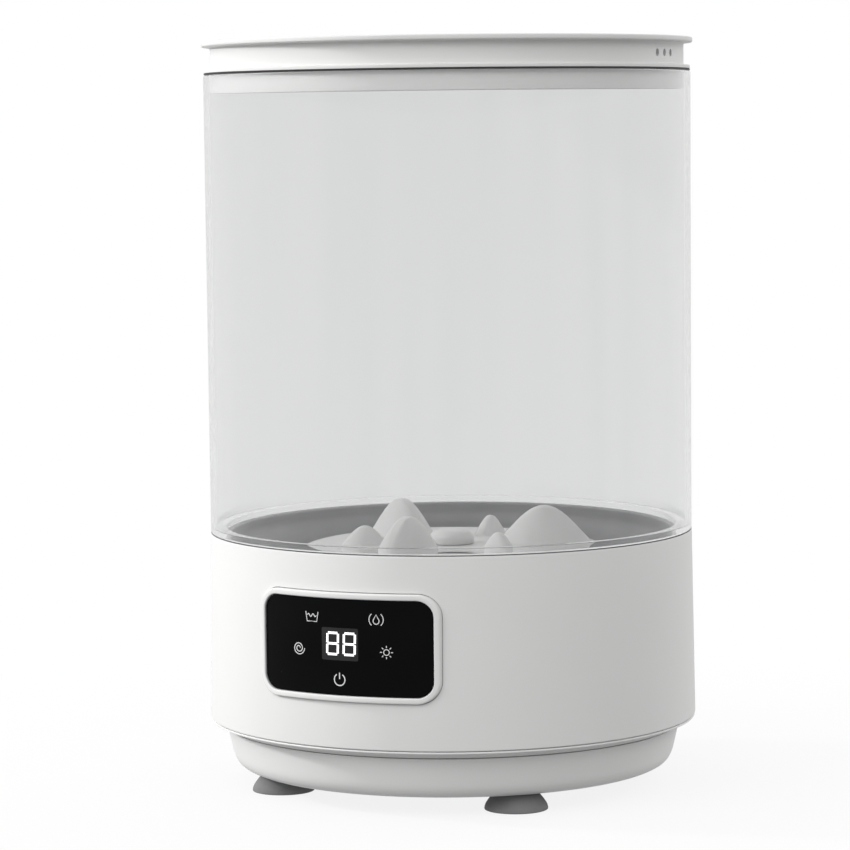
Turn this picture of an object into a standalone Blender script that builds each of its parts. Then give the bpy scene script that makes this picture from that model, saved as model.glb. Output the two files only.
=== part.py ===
"""Portable mini washer: a clear wash barrel on a white drive base, with a lift-off lid.

Blender 4.5 script. Metres, +Z up, the floor is z = 0, the axis of the barrel is the Z axis and the
control panel faces -Y. Azimuths run from the front (-Y) towards +X, in degrees.
"""

import math

import bmesh
import bpy
from mathutils import Matrix, Vector

# ---------------------------------------------------------------- driving dimensions
GAP = 0.0003  # between two pieces that touch
RUNNING = 0.0002  # round a turning shaft, past its facets
HOLE_SLACK = 0.0003  # between a screw or stem and its hole

ROUND_LARGE = 40  # sides of the barrel, the casings and the lid
ROUND_MEDIUM = 24  # sides of pulleys, motor and bearings
ROUND_SMALL = 8  # sides of screws and studs

# feet and base pan
FOOT_HEIGHT = 0.0087
FOOT_RADIUS = 0.0158
FOOT_STEM_RADIUS = 0.0042
FOOT_RECESS_RADIUS = 0.009
FOOT_RECESS_DEPTH = 0.0012
FOOT_CIRCLE_INSET = 0.0246  # inside the pan's top edge
PAN_WALL = 0.0025
PAN_HEIGHT = 0.0212
PAN_INSET = 0.0069  # inside the barrel's radius
PAN_TAPER = 0.0036
PAN_CORNER = 0.0058
SPIGOT_HEIGHT = 0.007
SPIGOT_INSET = 0.0032

# trim ring between the base pan and the housing
TRIM_HEIGHT = 0.0044
TRIM_LIP = 0.0009

# clear barrel
TUB_RADIUS = 0.1235
TUB_DRAFT = 0.0005
TUB_WALL = 0.0025
TUB_HEIGHT = 0.2327
TUB_FLANGE_REACH = 0.008
TUB_FLANGE_THICK = 0.0031

# housing
HOUSING_HEIGHT = 0.0949
HOUSING_FLARE = 0.0014
HOUSING_WALL = 0.0027
LEDGE_THICK = 0.002
TROUGH_DEPTH = 0.0037
TROUGH_WIDTH = 0.0043
RIB_THICK = 0.0023
RIB_DROP = 0.0009
BOSS_CIRCLE_INSET = 0.0345  # inside the barrel's radius
BOSS_RADIUS = 0.0045
BOSS_HEIGHT = 0.042
BOSS_WEB = 0.003
CASE_SCREW_RADIUS = 0.0018
CASE_SCREW_HEAD = 0.0033
CASE_SCREW_LENGTH = 0.018

# wash bowl
BOWL_SHEET = 0.001
BOWL_DEPTH = 0.018
BOWL_RIM_THICK = 0.0006
BOWL_SLOPE = 0.0273  # from the bowl's flat floor out to its wall
BOWL_COLLAR_RADIUS = 0.018
BOWL_COLLAR_HEIGHT = 0.004
DRAIN_AT = (-0.028, 0.052)
DRAIN_BORE = 0.0042
DRAIN_NIPPLE_LENGTH = 0.016

# pulsator
PULSATOR_GAP = 0.007  # inside the bowl's flat floor
PULSATOR_RIM_ROUND = 0.008
PULSATOR_RIM_FALL = 0.0028
PULSATOR_LIFT = 0.010
PULSATOR_WALL = 0.0024
PULSATOR_SKIRT = 0.005
PULSATOR_HUB_RADIUS = 0.009
PULSATOR_TURN = -2.0
BLADE_COUNT = 3
BLADE_HEIGHT = 0.0185
BLADE_CENTRE = 0.048
BLADE_HALF_LENGTH = 0.025
BLADE_HALF_WIDTH = 0.012
BLADE_FLAT = 0.2  # share of the half width that is level along the top of a blade
KNOLL_HEIGHT = 0.0095
KNOLL_CENTRE = 0.0445
KNOLL_HALF_LENGTH = 0.012
KNOLL_HALF_WIDTH = 0.006
WATER_HOLE_RADIUS = 0.0016
WATER_HOLE_INSET = 0.013  # inside the edge of the disc
WATER_HOLE_COUNT = 9
CAP_RADIUS = 0.0115
CAP_HEIGHT = 0.0068
CAP_WALL = 0.0013

# drive train
SHAFT_RADIUS = 0.004
BEARING_RADIUS = 0.011
BEARING_HEIGHT = 0.007
SEAL_RADIUS = 0.0122
SEAL_HEIGHT = 0.0064
FRAME_FLANGE_RADIUS = 0.04
FRAME_FLANGE_THICK = 0.0032
FRAME_TUBE_RADIUS = 0.0165
FRAME_PLATE_THICK = 0.0025
FRAME_DROP = 0.0527
FRAME_SCREW_CIRCLE = 0.033
PULLEY_CENTRES = 0.06
PULLEY_PITCH_LARGE = 0.042
PULLEY_PITCH_SMALL = 0.0105
PULLEY_HALF_HEIGHT = 0.0045
PULLEY_GROOVE_HALF = 0.0034
PULLEY_GROOVE_DEPTH = 0.0042
PULLEY_RIM_OVER_PITCH = 0.002
PULLEY_DROP = 0.007
BELT_RADIUS = 0.0014
MOTOR_RADIUS = 0.027
MOTOR_HEIGHT = 0.0457
MOTOR_SHEET = 0.0015
MOTOR_SHAFT_RADIUS = 0.0025
MOTOR_SCREW_CIRCLE = 0.016

# control panel
PANEL_WIDTH = 0.098
PANEL_HEIGHT = 0.0534
PANEL_CORNER = 0.0112
PANEL_MIDDLE = 0.0498
PANEL_BORDER = 0.003
PANEL_PROUD = 0.0024
PANEL_DEPTH = 0.0052
GLASS_BELOW_FRAME = 0.0013
GLASS_THICK = 0.002
DIGITS_SIZE = (0.0199, 0.0158)
BOARD_THICK = 0.0016
PAD_RADIUS = 0.0028
PANEL_LIP = 0.002
BOARD_POST_RADIUS = 0.0022
BOARD_PIN_RADIUS = 0.0011
BOARD_BEHIND_FACE = 0.01817
BOARD_HALF_WIDTH = 0.0487
BOARD_HALF_HEIGHT = 0.0215

# control board
CONTROL_BOARD_AT = (0.0, -0.055)
CONTROL_BOARD_SIZE = (0.09, 0.05)

# keys behind the glass: across and up from the panel's middle
KEY_PLACES = ((0.0, -0.0165), (-0.0165, 0.0145), (0.0185, 0.0145), (-0.0245, -0.0015), (0.0235, -0.0015))

# feet, by azimuth
FOOT_PLACES = {"front_right": 45, "rear_right": 135, "rear_left": 225, "front_left": 315}

# rear connections
REAR_OFFSET = 0.028
REAR_HEIGHT = 0.017
REAR_BLOCK_DEPTH = 0.0093
REAR_POCKET_RADIUS = 0.0105
JACK_RADIUS = 0.0057
JACK_BORE = 0.0032
JACK_LENGTH = 0.014
SPOUT_RADIUS = 0.007
SPOUT_BORE = 0.005
SPOUT_LENGTH = 0.027
BUNG_LENGTH = 0.013
BUNG_HEAD_RADIUS = 0.009

# lid
LID_OVERHANG = 0.0015  # beyond the barrel's radius
LID_HEIGHT = 0.0158
LID_EDGE = 0.0026
LID_NECK_INSET = 0.0045
LID_WALL = 0.0022
LID_FOOT_THICK = 0.0018
LID_SEAL_THICK = 0.0006
LID_SKIRT_DEPTH = 0.0099
LID_SKIRT_SLACK = 0.0005
LID_BOSS_CIRCLE = 0.08
LID_BOSS_RADIUS = 0.004
VENT_HALF_WIDTH = 0.0015
VENT_HALF_HEIGHT = 0.0018
VENT_SLANT = 14.0
VENT_HEIGHT_ABOVE_FOOT = 0.0055
VENT_AZIMUTH = 89.0
VENT_PITCH = 3.9
VENT_COUNT = 3

# ---------------------------------------------------------------- levels and radii that follow
PAN_BOTTOM = FOOT_HEIGHT + GAP
PAN_SHOULDER = PAN_BOTTOM + PAN_HEIGHT
PAN_FLOOR_TOP = PAN_BOTTOM + PAN_WALL
PAN_TOP_RADIUS = TUB_RADIUS - PAN_INSET
FOOT_CIRCLE = PAN_TOP_RADIUS - FOOT_CIRCLE_INSET
BOSS_CIRCLE = TUB_RADIUS - BOSS_CIRCLE_INSET
SPIGOT_RADIUS = PAN_TOP_RADIUS - SPIGOT_INSET
TRIM_BOTTOM = PAN_SHOULDER + GAP
TRIM_TOP = TRIM_BOTTOM + TRIM_HEIGHT
HOUSING_BOTTOM = TRIM_TOP + GAP
HOUSING_TOP = HOUSING_BOTTOM + HOUSING_HEIGHT
HOUSING_TOP_RADIUS = TUB_RADIUS + 0.0001
HOUSING_BOTTOM_RADIUS = HOUSING_TOP_RADIUS + HOUSING_FLARE
TRIM_RADIUS = HOUSING_BOTTOM_RADIUS - 0.0002
TROUGH_OUTER = HOUSING_TOP_RADIUS - HOUSING_WALL + 0.0003
TROUGH_INNER = TROUGH_OUTER - TROUGH_WIDTH
RIB_INNER = TROUGH_INNER - RIB_THICK
RIB_TOP = HOUSING_TOP - RIB_DROP
LEDGE_TOP = HOUSING_TOP - TROUGH_DEPTH
LEDGE_BOTTOM = LEDGE_TOP - LEDGE_THICK
TUB_BOTTOM = HOUSING_TOP + GAP
TUB_TOP = TUB_BOTTOM + TUB_HEIGHT
TUB_TOP_RADIUS = TUB_RADIUS + TUB_DRAFT
TUB_FLANGE_INNER = TUB_RADIUS - TUB_FLANGE_REACH
BOWL_RIM = RIB_TOP + GAP
BOWL_TOP = BOWL_RIM + BOWL_RIM_THICK
BOWL_FLOOR = BOWL_TOP - BOWL_DEPTH
BOWL_RIM_RADIUS = TROUGH_INNER - 0.0001
BOWL_WALL_RADIUS = RIB_INNER - GAP - BOWL_SHEET
BOWL_FLOOR_RADIUS = BOWL_WALL_RADIUS - BOWL_SLOPE
PULSATOR_RADIUS = BOWL_FLOOR_RADIUS - PULSATOR_GAP
WATER_HOLE_CIRCLE = PULSATOR_RADIUS - WATER_HOLE_INSET
BOWL_COLLAR_TOP = BOWL_FLOOR + BOWL_COLLAR_HEIGHT
DISC_TOP = BOWL_FLOOR + PULSATOR_LIFT
DISC_BOTTOM = DISC_TOP - PULSATOR_WALL
FRAME_TOP = BOWL_FLOOR - BOWL_SHEET - GAP
FRAME_BOTTOM = FRAME_TOP - FRAME_DROP - FRAME_PLATE_THICK
SEAL_SEAT = FRAME_TOP - 0.0017
UPPER_BEARING_BOTTOM = SEAL_SEAT - GAP - BEARING_HEIGHT
LOWER_BEARING_BOTTOM = FRAME_BOTTOM + GAP
PULLEY_LEVEL = FRAME_BOTTOM - PULLEY_DROP
HUB_HALF = PULLEY_HALF_HEIGHT + 0.0015
SHAFT_TOP = DISC_BOTTOM - GAP
SHAFT_BOTTOM = PULLEY_LEVEL - HUB_HALF - 0.006
MOTOR_BOTTOM = FRAME_BOTTOM + FRAME_PLATE_THICK + GAP
MOTOR_TOP = MOTOR_BOTTOM + MOTOR_HEIGHT
MOTOR_AT = (PULLEY_CENTRES, 0.0)
PANEL_Z = HOUSING_BOTTOM + PANEL_MIDDLE
REAR_Z = HOUSING_BOTTOM + REAR_HEIGHT
LID_FOOT = TUB_TOP + 2 * GAP + LID_SEAL_THICK - 0.0001
LID_TOP = LID_FOOT + LID_HEIGHT
LID_RADIUS = TUB_RADIUS + LID_OVERHANG
LID_NECK_RADIUS = LID_RADIUS - LID_NECK_INSET
LID_FOOT_RADIUS = TUB_TOP_RADIUS - 0.0003
SKIRT_RADIUS = TUB_TOP_RADIUS - TUB_WALL - LID_SKIRT_SLACK
LINER_TOP = LID_FOOT - GAP
LINER_BOTTOM = TUB_TOP - LID_SKIRT_DEPTH

BOARD_LEVEL = PAN_FLOOR_TOP + 0.0075
BOARD_TOP = BOARD_LEVEL + BOARD_THICK


def housing_radius(z):
    """Outer radius of the housing at height z: it flares downwards."""
    return HOUSING_TOP_RADIUS + HOUSING_FLARE * (HOUSING_TOP - z) / HOUSING_HEIGHT


PANEL_FACE = housing_radius(PANEL_Z) + PANEL_PROUD
BOARD_SETBACK = PANEL_FACE - BOARD_BEHIND_FACE
REAR_FACE = math.sqrt(housing_radius(REAR_Z) ** 2 - (REAR_OFFSET + REAR_POCKET_RADIUS + 0.0035) ** 2)
REAR_FACE -= 0.0005

# ---------------------------------------------------------------- scene set-up
for old in list(bpy.data.objects):
    bpy.data.objects.remove(old)

PARTS = bpy.data.collections.new("portable_mini_washer")
CUTTERS = bpy.data.collections.new("cutters")
for collection in (PARTS, CUTTERS):
    bpy.context.scene.collection.children.link(collection)


def finish(name, colour, roughness, metallic=0.0, alpha=1.0):
    """A Principled material; colour is linear RGB."""
    made = bpy.data.materials.new(name)
    made.use_nodes = True
    shader = made.node_tree.nodes["Principled BSDF"]
    shader.inputs["Base Color"].default_value = (*colour, 1.0)
    shader.inputs["Roughness"].default_value = roughness
    shader.inputs["Metallic"].default_value = metallic
    shader.inputs["Alpha"].default_value = alpha
    return made


WHITE_ABS = finish("white_abs", (0.80, 0.80, 0.79), 0.35)
CLEAR_PC = finish("clear_polycarbonate", (0.80, 0.82, 0.83), 0.05, alpha=0.3)
STEEL = finish("brushed_stainless", (0.42, 0.42, 0.43), 0.32, 1.0)
ZINC = finish("zinc_plated_steel", (0.60, 0.60, 0.58), 0.35, 1.0)
CAST = finish("cast_aluminium", (0.55, 0.56, 0.57), 0.5, 1.0)
DARK_RUBBER = finish("dark_grey_rubber", (0.10, 0.10, 0.105), 0.7)
BLACK_GLASS = finish("black_panel_glass", (0.004, 0.004, 0.004), 0.08)
BLACK_PLASTIC = finish("black_plastic", (0.02, 0.02, 0.02), 0.45)
GREEN_BOARD = finish("green_circuit_board", (0.02, 0.12, 0.05), 0.5)
COPPER = finish("wound_copper", (0.45, 0.18, 0.08), 0.4, 1.0)
ACETAL = finish("black_acetal", (0.03, 0.03, 0.03), 0.4)
BELT_PU = finish("green_belt", (0.05, 0.22, 0.10), 0.5)
HOSE = finish("grey_hose", (0.35, 0.35, 0.34), 0.5)
WIRE = finish("black_wire", (0.015, 0.015, 0.015), 0.5)
RIBBON = finish("grey_ribbon_cable", (0.40, 0.40, 0.40), 0.5)


def place(obj, material):
    """Puts a finished piece among the parts."""
    PARTS.objects.link(obj)
    if material:
        obj.data.materials.append(material)
    return obj


def helper(obj):
    """Puts a cutter or a joined lump where it isn't shown."""
    CUTTERS.objects.link(obj)
    obj.hide_render = True
    obj.display_type = "WIRE"
    return obj


def polar(radius, azimuth, z=0.0):
    """The point at this radius and azimuth; azimuth 0 is the front."""
    turn = math.radians(azimuth)
    return Vector((radius * math.sin(turn), -radius * math.cos(turn), z))


def turned(name, profile, sides, centre=(0.0, 0.0)):
    """A profile of (radius, z) points turned round the Z axis. It runs down its outer side. A
    profile that starts and ends on the axis makes a solid, and any other is closed into a ring."""
    mesh = bpy.data.meshes.new(name)
    points = [(radius, 0.0, z) for radius, z in profile]
    edges = [(i, i + 1) for i in range(len(points) - 1)]
    if profile[0][0] > 0 or profile[-1][0] > 0:
        edges.append((len(points) - 1, 0))
    mesh.from_pydata(points, edges, [])
    obj = bpy.data.objects.new(name, mesh)
    obj.location = (*centre, 0.0)
    obj.rotation_euler.z = math.pi / sides
    screw = obj.modifiers.new("turn", "SCREW")
    screw.axis = "Z"
    screw.angle = math.tau
    screw.steps = screw.render_steps = sides
    screw.use_merge_vertices = True
    screw.merge_threshold = 0.00001
    screw.use_smooth_shade = False
    return obj


def cylinder(name, radius, start, end, sides=ROUND_SMALL):
    """A plain cylinder between two points."""
    start, end = Vector(start), Vector(end)
    mesh = bpy.data.meshes.new(name)
    shape = bmesh.new()
    bmesh.ops.create_cone(
        shape, cap_ends=True, segments=sides, radius1=radius, radius2=radius, depth=(end - start).length
    )
    shape.to_mesh(mesh)
    shape.free()
    obj = bpy.data.objects.new(name, mesh)
    obj.location = (start + end) / 2
    obj.rotation_mode = "QUATERNION"
    obj.rotation_quaternion = (end - start).to_track_quat("Z", "Y")
    return obj


def block(name, low, high):
    """A box between two corners."""
    low, high = Vector(low), Vector(high)
    mesh = bpy.data.meshes.new(name)
    shape = bmesh.new()
    bmesh.ops.create_cube(shape, size=1.0)
    bmesh.ops.scale(shape, vec=high - low, verts=shape.verts)
    shape.to_mesh(mesh)
    shape.free()
    obj = bpy.data.objects.new(name, mesh)
    obj.location = (low + high) / 2
    return obj


def rounded_prism(name, width, height, corner, near, far, corner_steps=5):
    """A rounded rectangle in the panel's plane, extruded along Y from near to far."""
    mesh = bpy.data.meshes.new(name)
    shape = bmesh.new()
    ring = []
    for quarter in range(4):
        middle = Vector((
            (width / 2 - corner) * (1 if quarter in (0, 3) else -1),
            (height / 2 - corner) * (1 if quarter in (0, 1) else -1),
        ))
        for step in range(corner_steps + 1):
            turn = math.radians(90 * (quarter + step / corner_steps))
            point = middle + corner * Vector((math.cos(turn), math.sin(turn)))
            ring.append(shape.verts.new((point.x, near, PANEL_Z + point.y)))
    face = shape.faces.new(ring)
    pulled = bmesh.ops.extrude_face_region(shape, geom=[face])["geom"]
    moved = [item for item in pulled if isinstance(item, bmesh.types.BMVert)]
    bmesh.ops.translate(shape, vec=(0.0, far - near, 0.0), verts=moved)
    bmesh.ops.recalc_face_normals(shape, faces=shape.faces)
    shape.to_mesh(mesh)
    shape.free()
    return bpy.data.objects.new(name, mesh)


def wire(name, points, radius, material, cyclic=False, resolution=2):
    """A round cord along points: a poly curve with a bevel and filled caps."""
    curve = bpy.data.curves.new(name, "CURVE")
    curve.dimensions = "3D"
    curve.bevel_depth = radius
    curve.bevel_resolution = resolution
    curve.use_fill_caps = True
    spline = curve.splines.new("POLY")
    spline.points.add(len(points) - 1)
    for knot, point in zip(spline.points, points):
        knot.co = (*point, 1.0)
    spline.use_cyclic_u = cyclic
    return place(bpy.data.objects.new(name, curve), material)


def smooth_route(points, per_span=4):
    """A Catmull-Rom curve through points chosen by hand."""
    knots = [Vector(p) for p in points]
    knots = [2 * knots[0] - knots[1], *knots, 2 * knots[-1] - knots[-2]]
    route = []
    for a, b, c, d in zip(knots, knots[1:], knots[2:], knots[3:]):
        for step in range(per_span):
            t = step / per_span
            second = 2 * a - 5 * b + 4 * c - d
            third = 3 * b - a - 3 * c + d
            route.append(0.5 * (2 * b + (c - a) * t + second * t**2 + third * t**3))
    return [*route, knots[-2]]


def cut(target, cutter, operation="DIFFERENCE"):
    """Applies a Boolean to target with a hidden helper."""
    helper(cutter)
    boolean = target.modifiers.new(cutter.name, "BOOLEAN")
    boolean.operation = operation
    boolean.object = cutter
    return target


def join(target, lump):
    """Joins a lump that overlaps target into it."""
    return cut(target, lump, "UNION")


def pan_head_screw(name, foot, tip, shank, head, head_height, material=ZINC):
    """A pan head screw: foot is the point under its head, tip the end of its shank."""
    foot, tip = Vector(foot), Vector(tip)
    length = (tip - foot).length
    profile = [
        (0.0, head_height),
        (head * 0.75, head_height),
        (head, head_height * 0.45),
        (head, 0.0),
        (shank, 0.0),
        (shank, -length),
        (0.0, -length),
    ]
    screw = turned(name, profile, ROUND_SMALL)
    screw.location = foot
    screw.rotation_mode = "QUATERNION"
    screw.rotation_quaternion = (foot - tip).to_track_quat("Z", "Y")
    return place(screw, material)


# ---------------------------------------------------------------- feet and base pan
def make_feet():
    """Four rubber suction feet, pushed through the pan's floor at 45 degrees to the front."""
    barb = PAN_FLOOR_TOP + GAP
    profile = [
        (0.0, barb + 0.0026),
        (FOOT_STEM_RADIUS - 0.0007, barb + 0.0026),
        (FOOT_STEM_RADIUS + 0.0018, barb),
        (FOOT_STEM_RADIUS, barb),
        (FOOT_STEM_RADIUS, FOOT_HEIGHT),
        (FOOT_RADIUS * 0.68, FOOT_HEIGHT),
        (FOOT_RADIUS * 0.90, FOOT_HEIGHT * 0.60),
        (FOOT_RADIUS, FOOT_HEIGHT * 0.18),
        (FOOT_RADIUS, 0.0),
        (FOOT_RECESS_RADIUS, 0.0),
        (FOOT_RECESS_RADIUS - 0.002, FOOT_RECESS_DEPTH),
        (0.0, FOOT_RECESS_DEPTH),
    ]
    for where, azimuth in FOOT_PLACES.items():
        at = polar(FOOT_CIRCLE, azimuth)
        place(turned(f"foot_{where}", profile, 16, (at.x, at.y)), DARK_RUBBER)


def make_base_pan():
    """The tapered bottom cover, with its spigot, foot holes, screw holes and board posts."""
    lower = PAN_TOP_RADIUS - PAN_TAPER
    inner = SPIGOT_RADIUS - PAN_WALL
    profile = [
        (0.0, PAN_FLOOR_TOP),
        (lower - PAN_CORNER * 1.85, PAN_FLOOR_TOP),
        (lower - PAN_WALL - PAN_CORNER * 0.35, PAN_FLOOR_TOP + PAN_CORNER * 0.55),
        (inner, PAN_SHOULDER),
        (inner, PAN_SHOULDER + SPIGOT_HEIGHT),
        (SPIGOT_RADIUS, PAN_SHOULDER + SPIGOT_HEIGHT),
        (SPIGOT_RADIUS, PAN_SHOULDER),
        (PAN_TOP_RADIUS, PAN_SHOULDER),
        (lower, PAN_BOTTOM + PAN_CORNER),
        (lower - PAN_CORNER * 0.42, PAN_BOTTOM + PAN_CORNER * 0.40),
        (lower - PAN_CORNER * 1.05, PAN_BOTTOM + PAN_CORNER * 0.07),
        (lower - PAN_CORNER * 1.75, PAN_BOTTOM),
        (0.0, PAN_BOTTOM),
    ]
    pan = place(turned("base_pan", profile, ROUND_LARGE), WHITE_ABS)
    through = (PAN_BOTTOM - 0.004, PAN_FLOOR_TOP + 0.004)
    for where, azimuth in FOOT_PLACES.items():
        hole = [polar(FOOT_CIRCLE, azimuth, z) for z in through]
        cut(pan, cylinder(f"hole_{where}", FOOT_STEM_RADIUS + HOLE_SLACK, *hole))
    for index in range(4):
        hole = [polar(BOSS_CIRCLE, 90 * index, z) for z in through]
        cut(pan, cylinder(f"pan_screw_hole_{index}", CASE_SCREW_RADIUS + HOLE_SLACK, *hole))
    for index, (x, y) in enumerate(board_corners()):
        ends = [(x, y, PAN_FLOOR_TOP - 0.001), (x, y, BOARD_LEVEL - GAP)]
        post = cylinder(f"board_post_{index}", 0.003, *ends)
        ends = [(x, y, BOARD_LEVEL - 0.002), (x, y, BOARD_TOP + 0.0012)]
        pin = cylinder(f"board_pin_{index}", 0.0013, *ends, 8)
        join(pan, post)
        join(pan, pin)


def make_case_screws():
    """Four screws through the pan's floor, up into the housing's bosses."""
    for index in range(4):
        foot = polar(BOSS_CIRCLE, 90 * index, PAN_BOTTOM - GAP)
        tip = foot + Vector((0.0, 0.0, CASE_SCREW_LENGTH))
        pan_head_screw(f"case_screw_{index + 1}", foot, tip, CASE_SCREW_RADIUS, CASE_SCREW_HEAD, 0.002)


# ---------------------------------------------------------------- trim ring and housing
def make_trim_ring():
    """The sloping ring that closes the joint between base pan and housing."""
    bore = SPIGOT_RADIUS + GAP
    profile = [
        (bore, TRIM_TOP),
        (TRIM_RADIUS, TRIM_TOP),
        (TRIM_RADIUS, TRIM_TOP - TRIM_LIP),
        (PAN_TOP_RADIUS, TRIM_BOTTOM),
        (bore, TRIM_BOTTOM),
    ]
    place(turned("trim_ring", profile, ROUND_LARGE), WHITE_ABS)


def make_housing():
    """The white casing: ledge, seal trough and rib at the top, panel window, rear wells, bosses."""
    profile = [
        (RIB_INNER, RIB_TOP),
        (TROUGH_INNER, RIB_TOP),
        (TROUGH_INNER, LEDGE_TOP),
        (TROUGH_OUTER, LEDGE_TOP),
        (TROUGH_OUTER, HOUSING_TOP),
        (HOUSING_TOP_RADIUS, HOUSING_TOP),
        (HOUSING_BOTTOM_RADIUS, HOUSING_BOTTOM),
        (HOUSING_BOTTOM_RADIUS - HOUSING_WALL, HOUSING_BOTTOM),
        (HOUSING_TOP_RADIUS - HOUSING_WALL, LEDGE_BOTTOM),
        (RIB_INNER, LEDGE_BOTTOM),
    ]
    housing = place(turned("housing", profile, ROUND_LARGE), WHITE_ABS)
    window = rounded_prism(
        "panel_window", PANEL_WIDTH + 2 * GAP, PANEL_HEIGHT + 2 * GAP, PANEL_CORNER + GAP, -0.15, -0.09
    )
    cut(housing, window)
    spigot_top = PAN_SHOULDER + SPIGOT_HEIGHT
    for index in range(4):
        low = polar(BOSS_CIRCLE, 90 * index, PAN_FLOOR_TOP + GAP)
        high = polar(BOSS_CIRCLE, 90 * index, PAN_FLOOR_TOP + GAP + BOSS_HEIGHT)
        middle_of_wall = HOUSING_BOTTOM_RADIUS - HOUSING_WALL / 2
        web = block(
            f"boss_web_{index}",
            (-BOSS_WEB / 2, BOSS_CIRCLE + BOSS_WEB / 2, spigot_top + 0.001),
            (BOSS_WEB / 2, middle_of_wall, high.z - 0.001),
        )
        web.data.transform(Matrix.Translation(web.location))
        web.location = (0.0, 0.0, 0.0)
        web.rotation_euler = (0.0, 0.0, math.radians(90 * index + 180))
        join(housing, cylinder(f"boss_{index}", BOSS_RADIUS, low, high))
        join(housing, web)
        hole = polar(BOSS_CIRCLE, 90 * index, PAN_BOTTOM + CASE_SCREW_LENGTH + 0.002)
        start = low - Vector((0, 0, 0.005))
        cut(housing, cylinder(f"boss_hole_{index}", CASE_SCREW_RADIUS + HOLE_SLACK, start, hole))
    for side in (-1, 1):
        make_rear_well(housing, side * REAR_OFFSET)


def make_rear_well(housing, x):
    """A thick pad inside the wall with a flat-bottomed well sunk into it, and a hole through."""
    half = REAR_POCKET_RADIUS + 0.0035
    pad = block(
        f"rear_pad_{x:.3f}",
        (x - half, REAR_FACE - REAR_BLOCK_DEPTH, REAR_Z - half),
        (x + half, HOUSING_TOP_RADIUS, REAR_Z + half),
    )
    limit = cylinder(
        f"rear_pad_limit_{x:.3f}",
        HOUSING_TOP_RADIUS - HOUSING_WALL / 2,
        (0, 0, HOUSING_BOTTOM),
        (0, 0, HOUSING_TOP),
        ROUND_LARGE,
    )
    cut(pad, limit, "INTERSECT")
    join(housing, pad)
    outside = HOUSING_BOTTOM_RADIUS + 0.01
    ends = [(x, REAR_FACE, REAR_Z), (x, outside, REAR_Z)]
    well = cylinder(f"rear_well_{x:.3f}", REAR_POCKET_RADIUS, *ends, 24)
    radius = (SPOUT_RADIUS if x < 0 else JACK_RADIUS) + HOLE_SLACK
    hole = cylinder(f"rear_hole_{x:.3f}", radius, (x, REAR_FACE - 0.027, REAR_Z), (x, outside, REAR_Z), 16)
    cut(housing, well)
    cut(housing, hole)


# ---------------------------------------------------------------- clear barrel and steel bowl
def make_tub():
    """The clear barrel with an inward flange at its foot, and the seal below the flange."""
    flange_top = TUB_BOTTOM + TUB_FLANGE_THICK
    profile = [
        (TUB_TOP_RADIUS - TUB_WALL, TUB_TOP),
        (TUB_TOP_RADIUS, TUB_TOP),
        (TUB_RADIUS, TUB_BOTTOM),
        (TUB_FLANGE_INNER, TUB_BOTTOM),
        (TUB_FLANGE_INNER, flange_top),
        (TUB_RADIUS - TUB_WALL, flange_top),
    ]
    place(turned("tub", profile, ROUND_LARGE), CLEAR_PC)
    inner, outer = TROUGH_INNER + GAP, TROUGH_OUTER - GAP
    low, high = LEDGE_TOP + GAP, TUB_BOTTOM - GAP
    ring = [(inner, high), (outer, high), (outer, low), (inner, low)]
    place(turned("tub_seal", ring, ROUND_LARGE), DARK_RUBBER)


def make_bowl():
    """The drawn stainless bowl hung by its rim on the housing's rib, with a drain nipple."""
    wall = BOWL_WALL_RADIUS
    inside = [
        (BOWL_COLLAR_RADIUS, BOWL_FLOOR),
        (BOWL_FLOOR_RADIUS, BOWL_FLOOR),
        (BOWL_FLOOR_RADIUS + (wall - BOWL_FLOOR_RADIUS) * 0.55, BOWL_FLOOR + BOWL_DEPTH * 0.08),
        (BOWL_FLOOR_RADIUS + (wall - BOWL_FLOOR_RADIUS) * 0.88, BOWL_FLOOR + BOWL_DEPTH * 0.30),
        (wall, BOWL_FLOOR + BOWL_DEPTH * 0.62),
        (wall, BOWL_TOP),
    ]
    outside = [
        (wall + BOWL_SHEET, BOWL_RIM),
        (wall + BOWL_SHEET, BOWL_FLOOR + BOWL_DEPTH * 0.60),
        (inside[3][0] + BOWL_SHEET * 0.7, inside[3][1] - BOWL_SHEET * 0.8),
        (inside[2][0], inside[2][1] - BOWL_SHEET),
        (BOWL_FLOOR_RADIUS, BOWL_FLOOR - BOWL_SHEET),
        (BOWL_COLLAR_RADIUS - BOWL_SHEET, BOWL_FLOOR - BOWL_SHEET),
    ]
    collar = [(BOWL_COLLAR_RADIUS - BOWL_SHEET, BOWL_COLLAR_TOP), (BOWL_COLLAR_RADIUS, BOWL_COLLAR_TOP)]
    rim = [(BOWL_RIM_RADIUS, BOWL_TOP), (BOWL_RIM_RADIUS, BOWL_RIM)]
    bowl = place(turned("wash_bowl", collar + inside + rim + outside, ROUND_LARGE), STEEL)
    floor = BOWL_FLOOR - BOWL_SHEET
    x, y = DRAIN_AT
    ends = [(x, y, floor - DRAIN_NIPPLE_LENGTH), (x, y, floor + 0.0005)]
    join(bowl, cylinder("nipple", DRAIN_BORE + 0.002, *ends))
    cut(bowl, cylinder("nipple_bore", DRAIN_BORE, (x, y, floor - 0.03), (x, y, floor + 0.01)))
    for index in range(4):
        ends = [polar(FRAME_SCREW_CIRCLE, 45 + 90 * index, z) for z in (floor - 0.005, floor + 0.005)]
        cut(bowl, cylinder(f"bowl_screw_hole_{index}", 0.002 + HOLE_SLACK, *ends))


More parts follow.
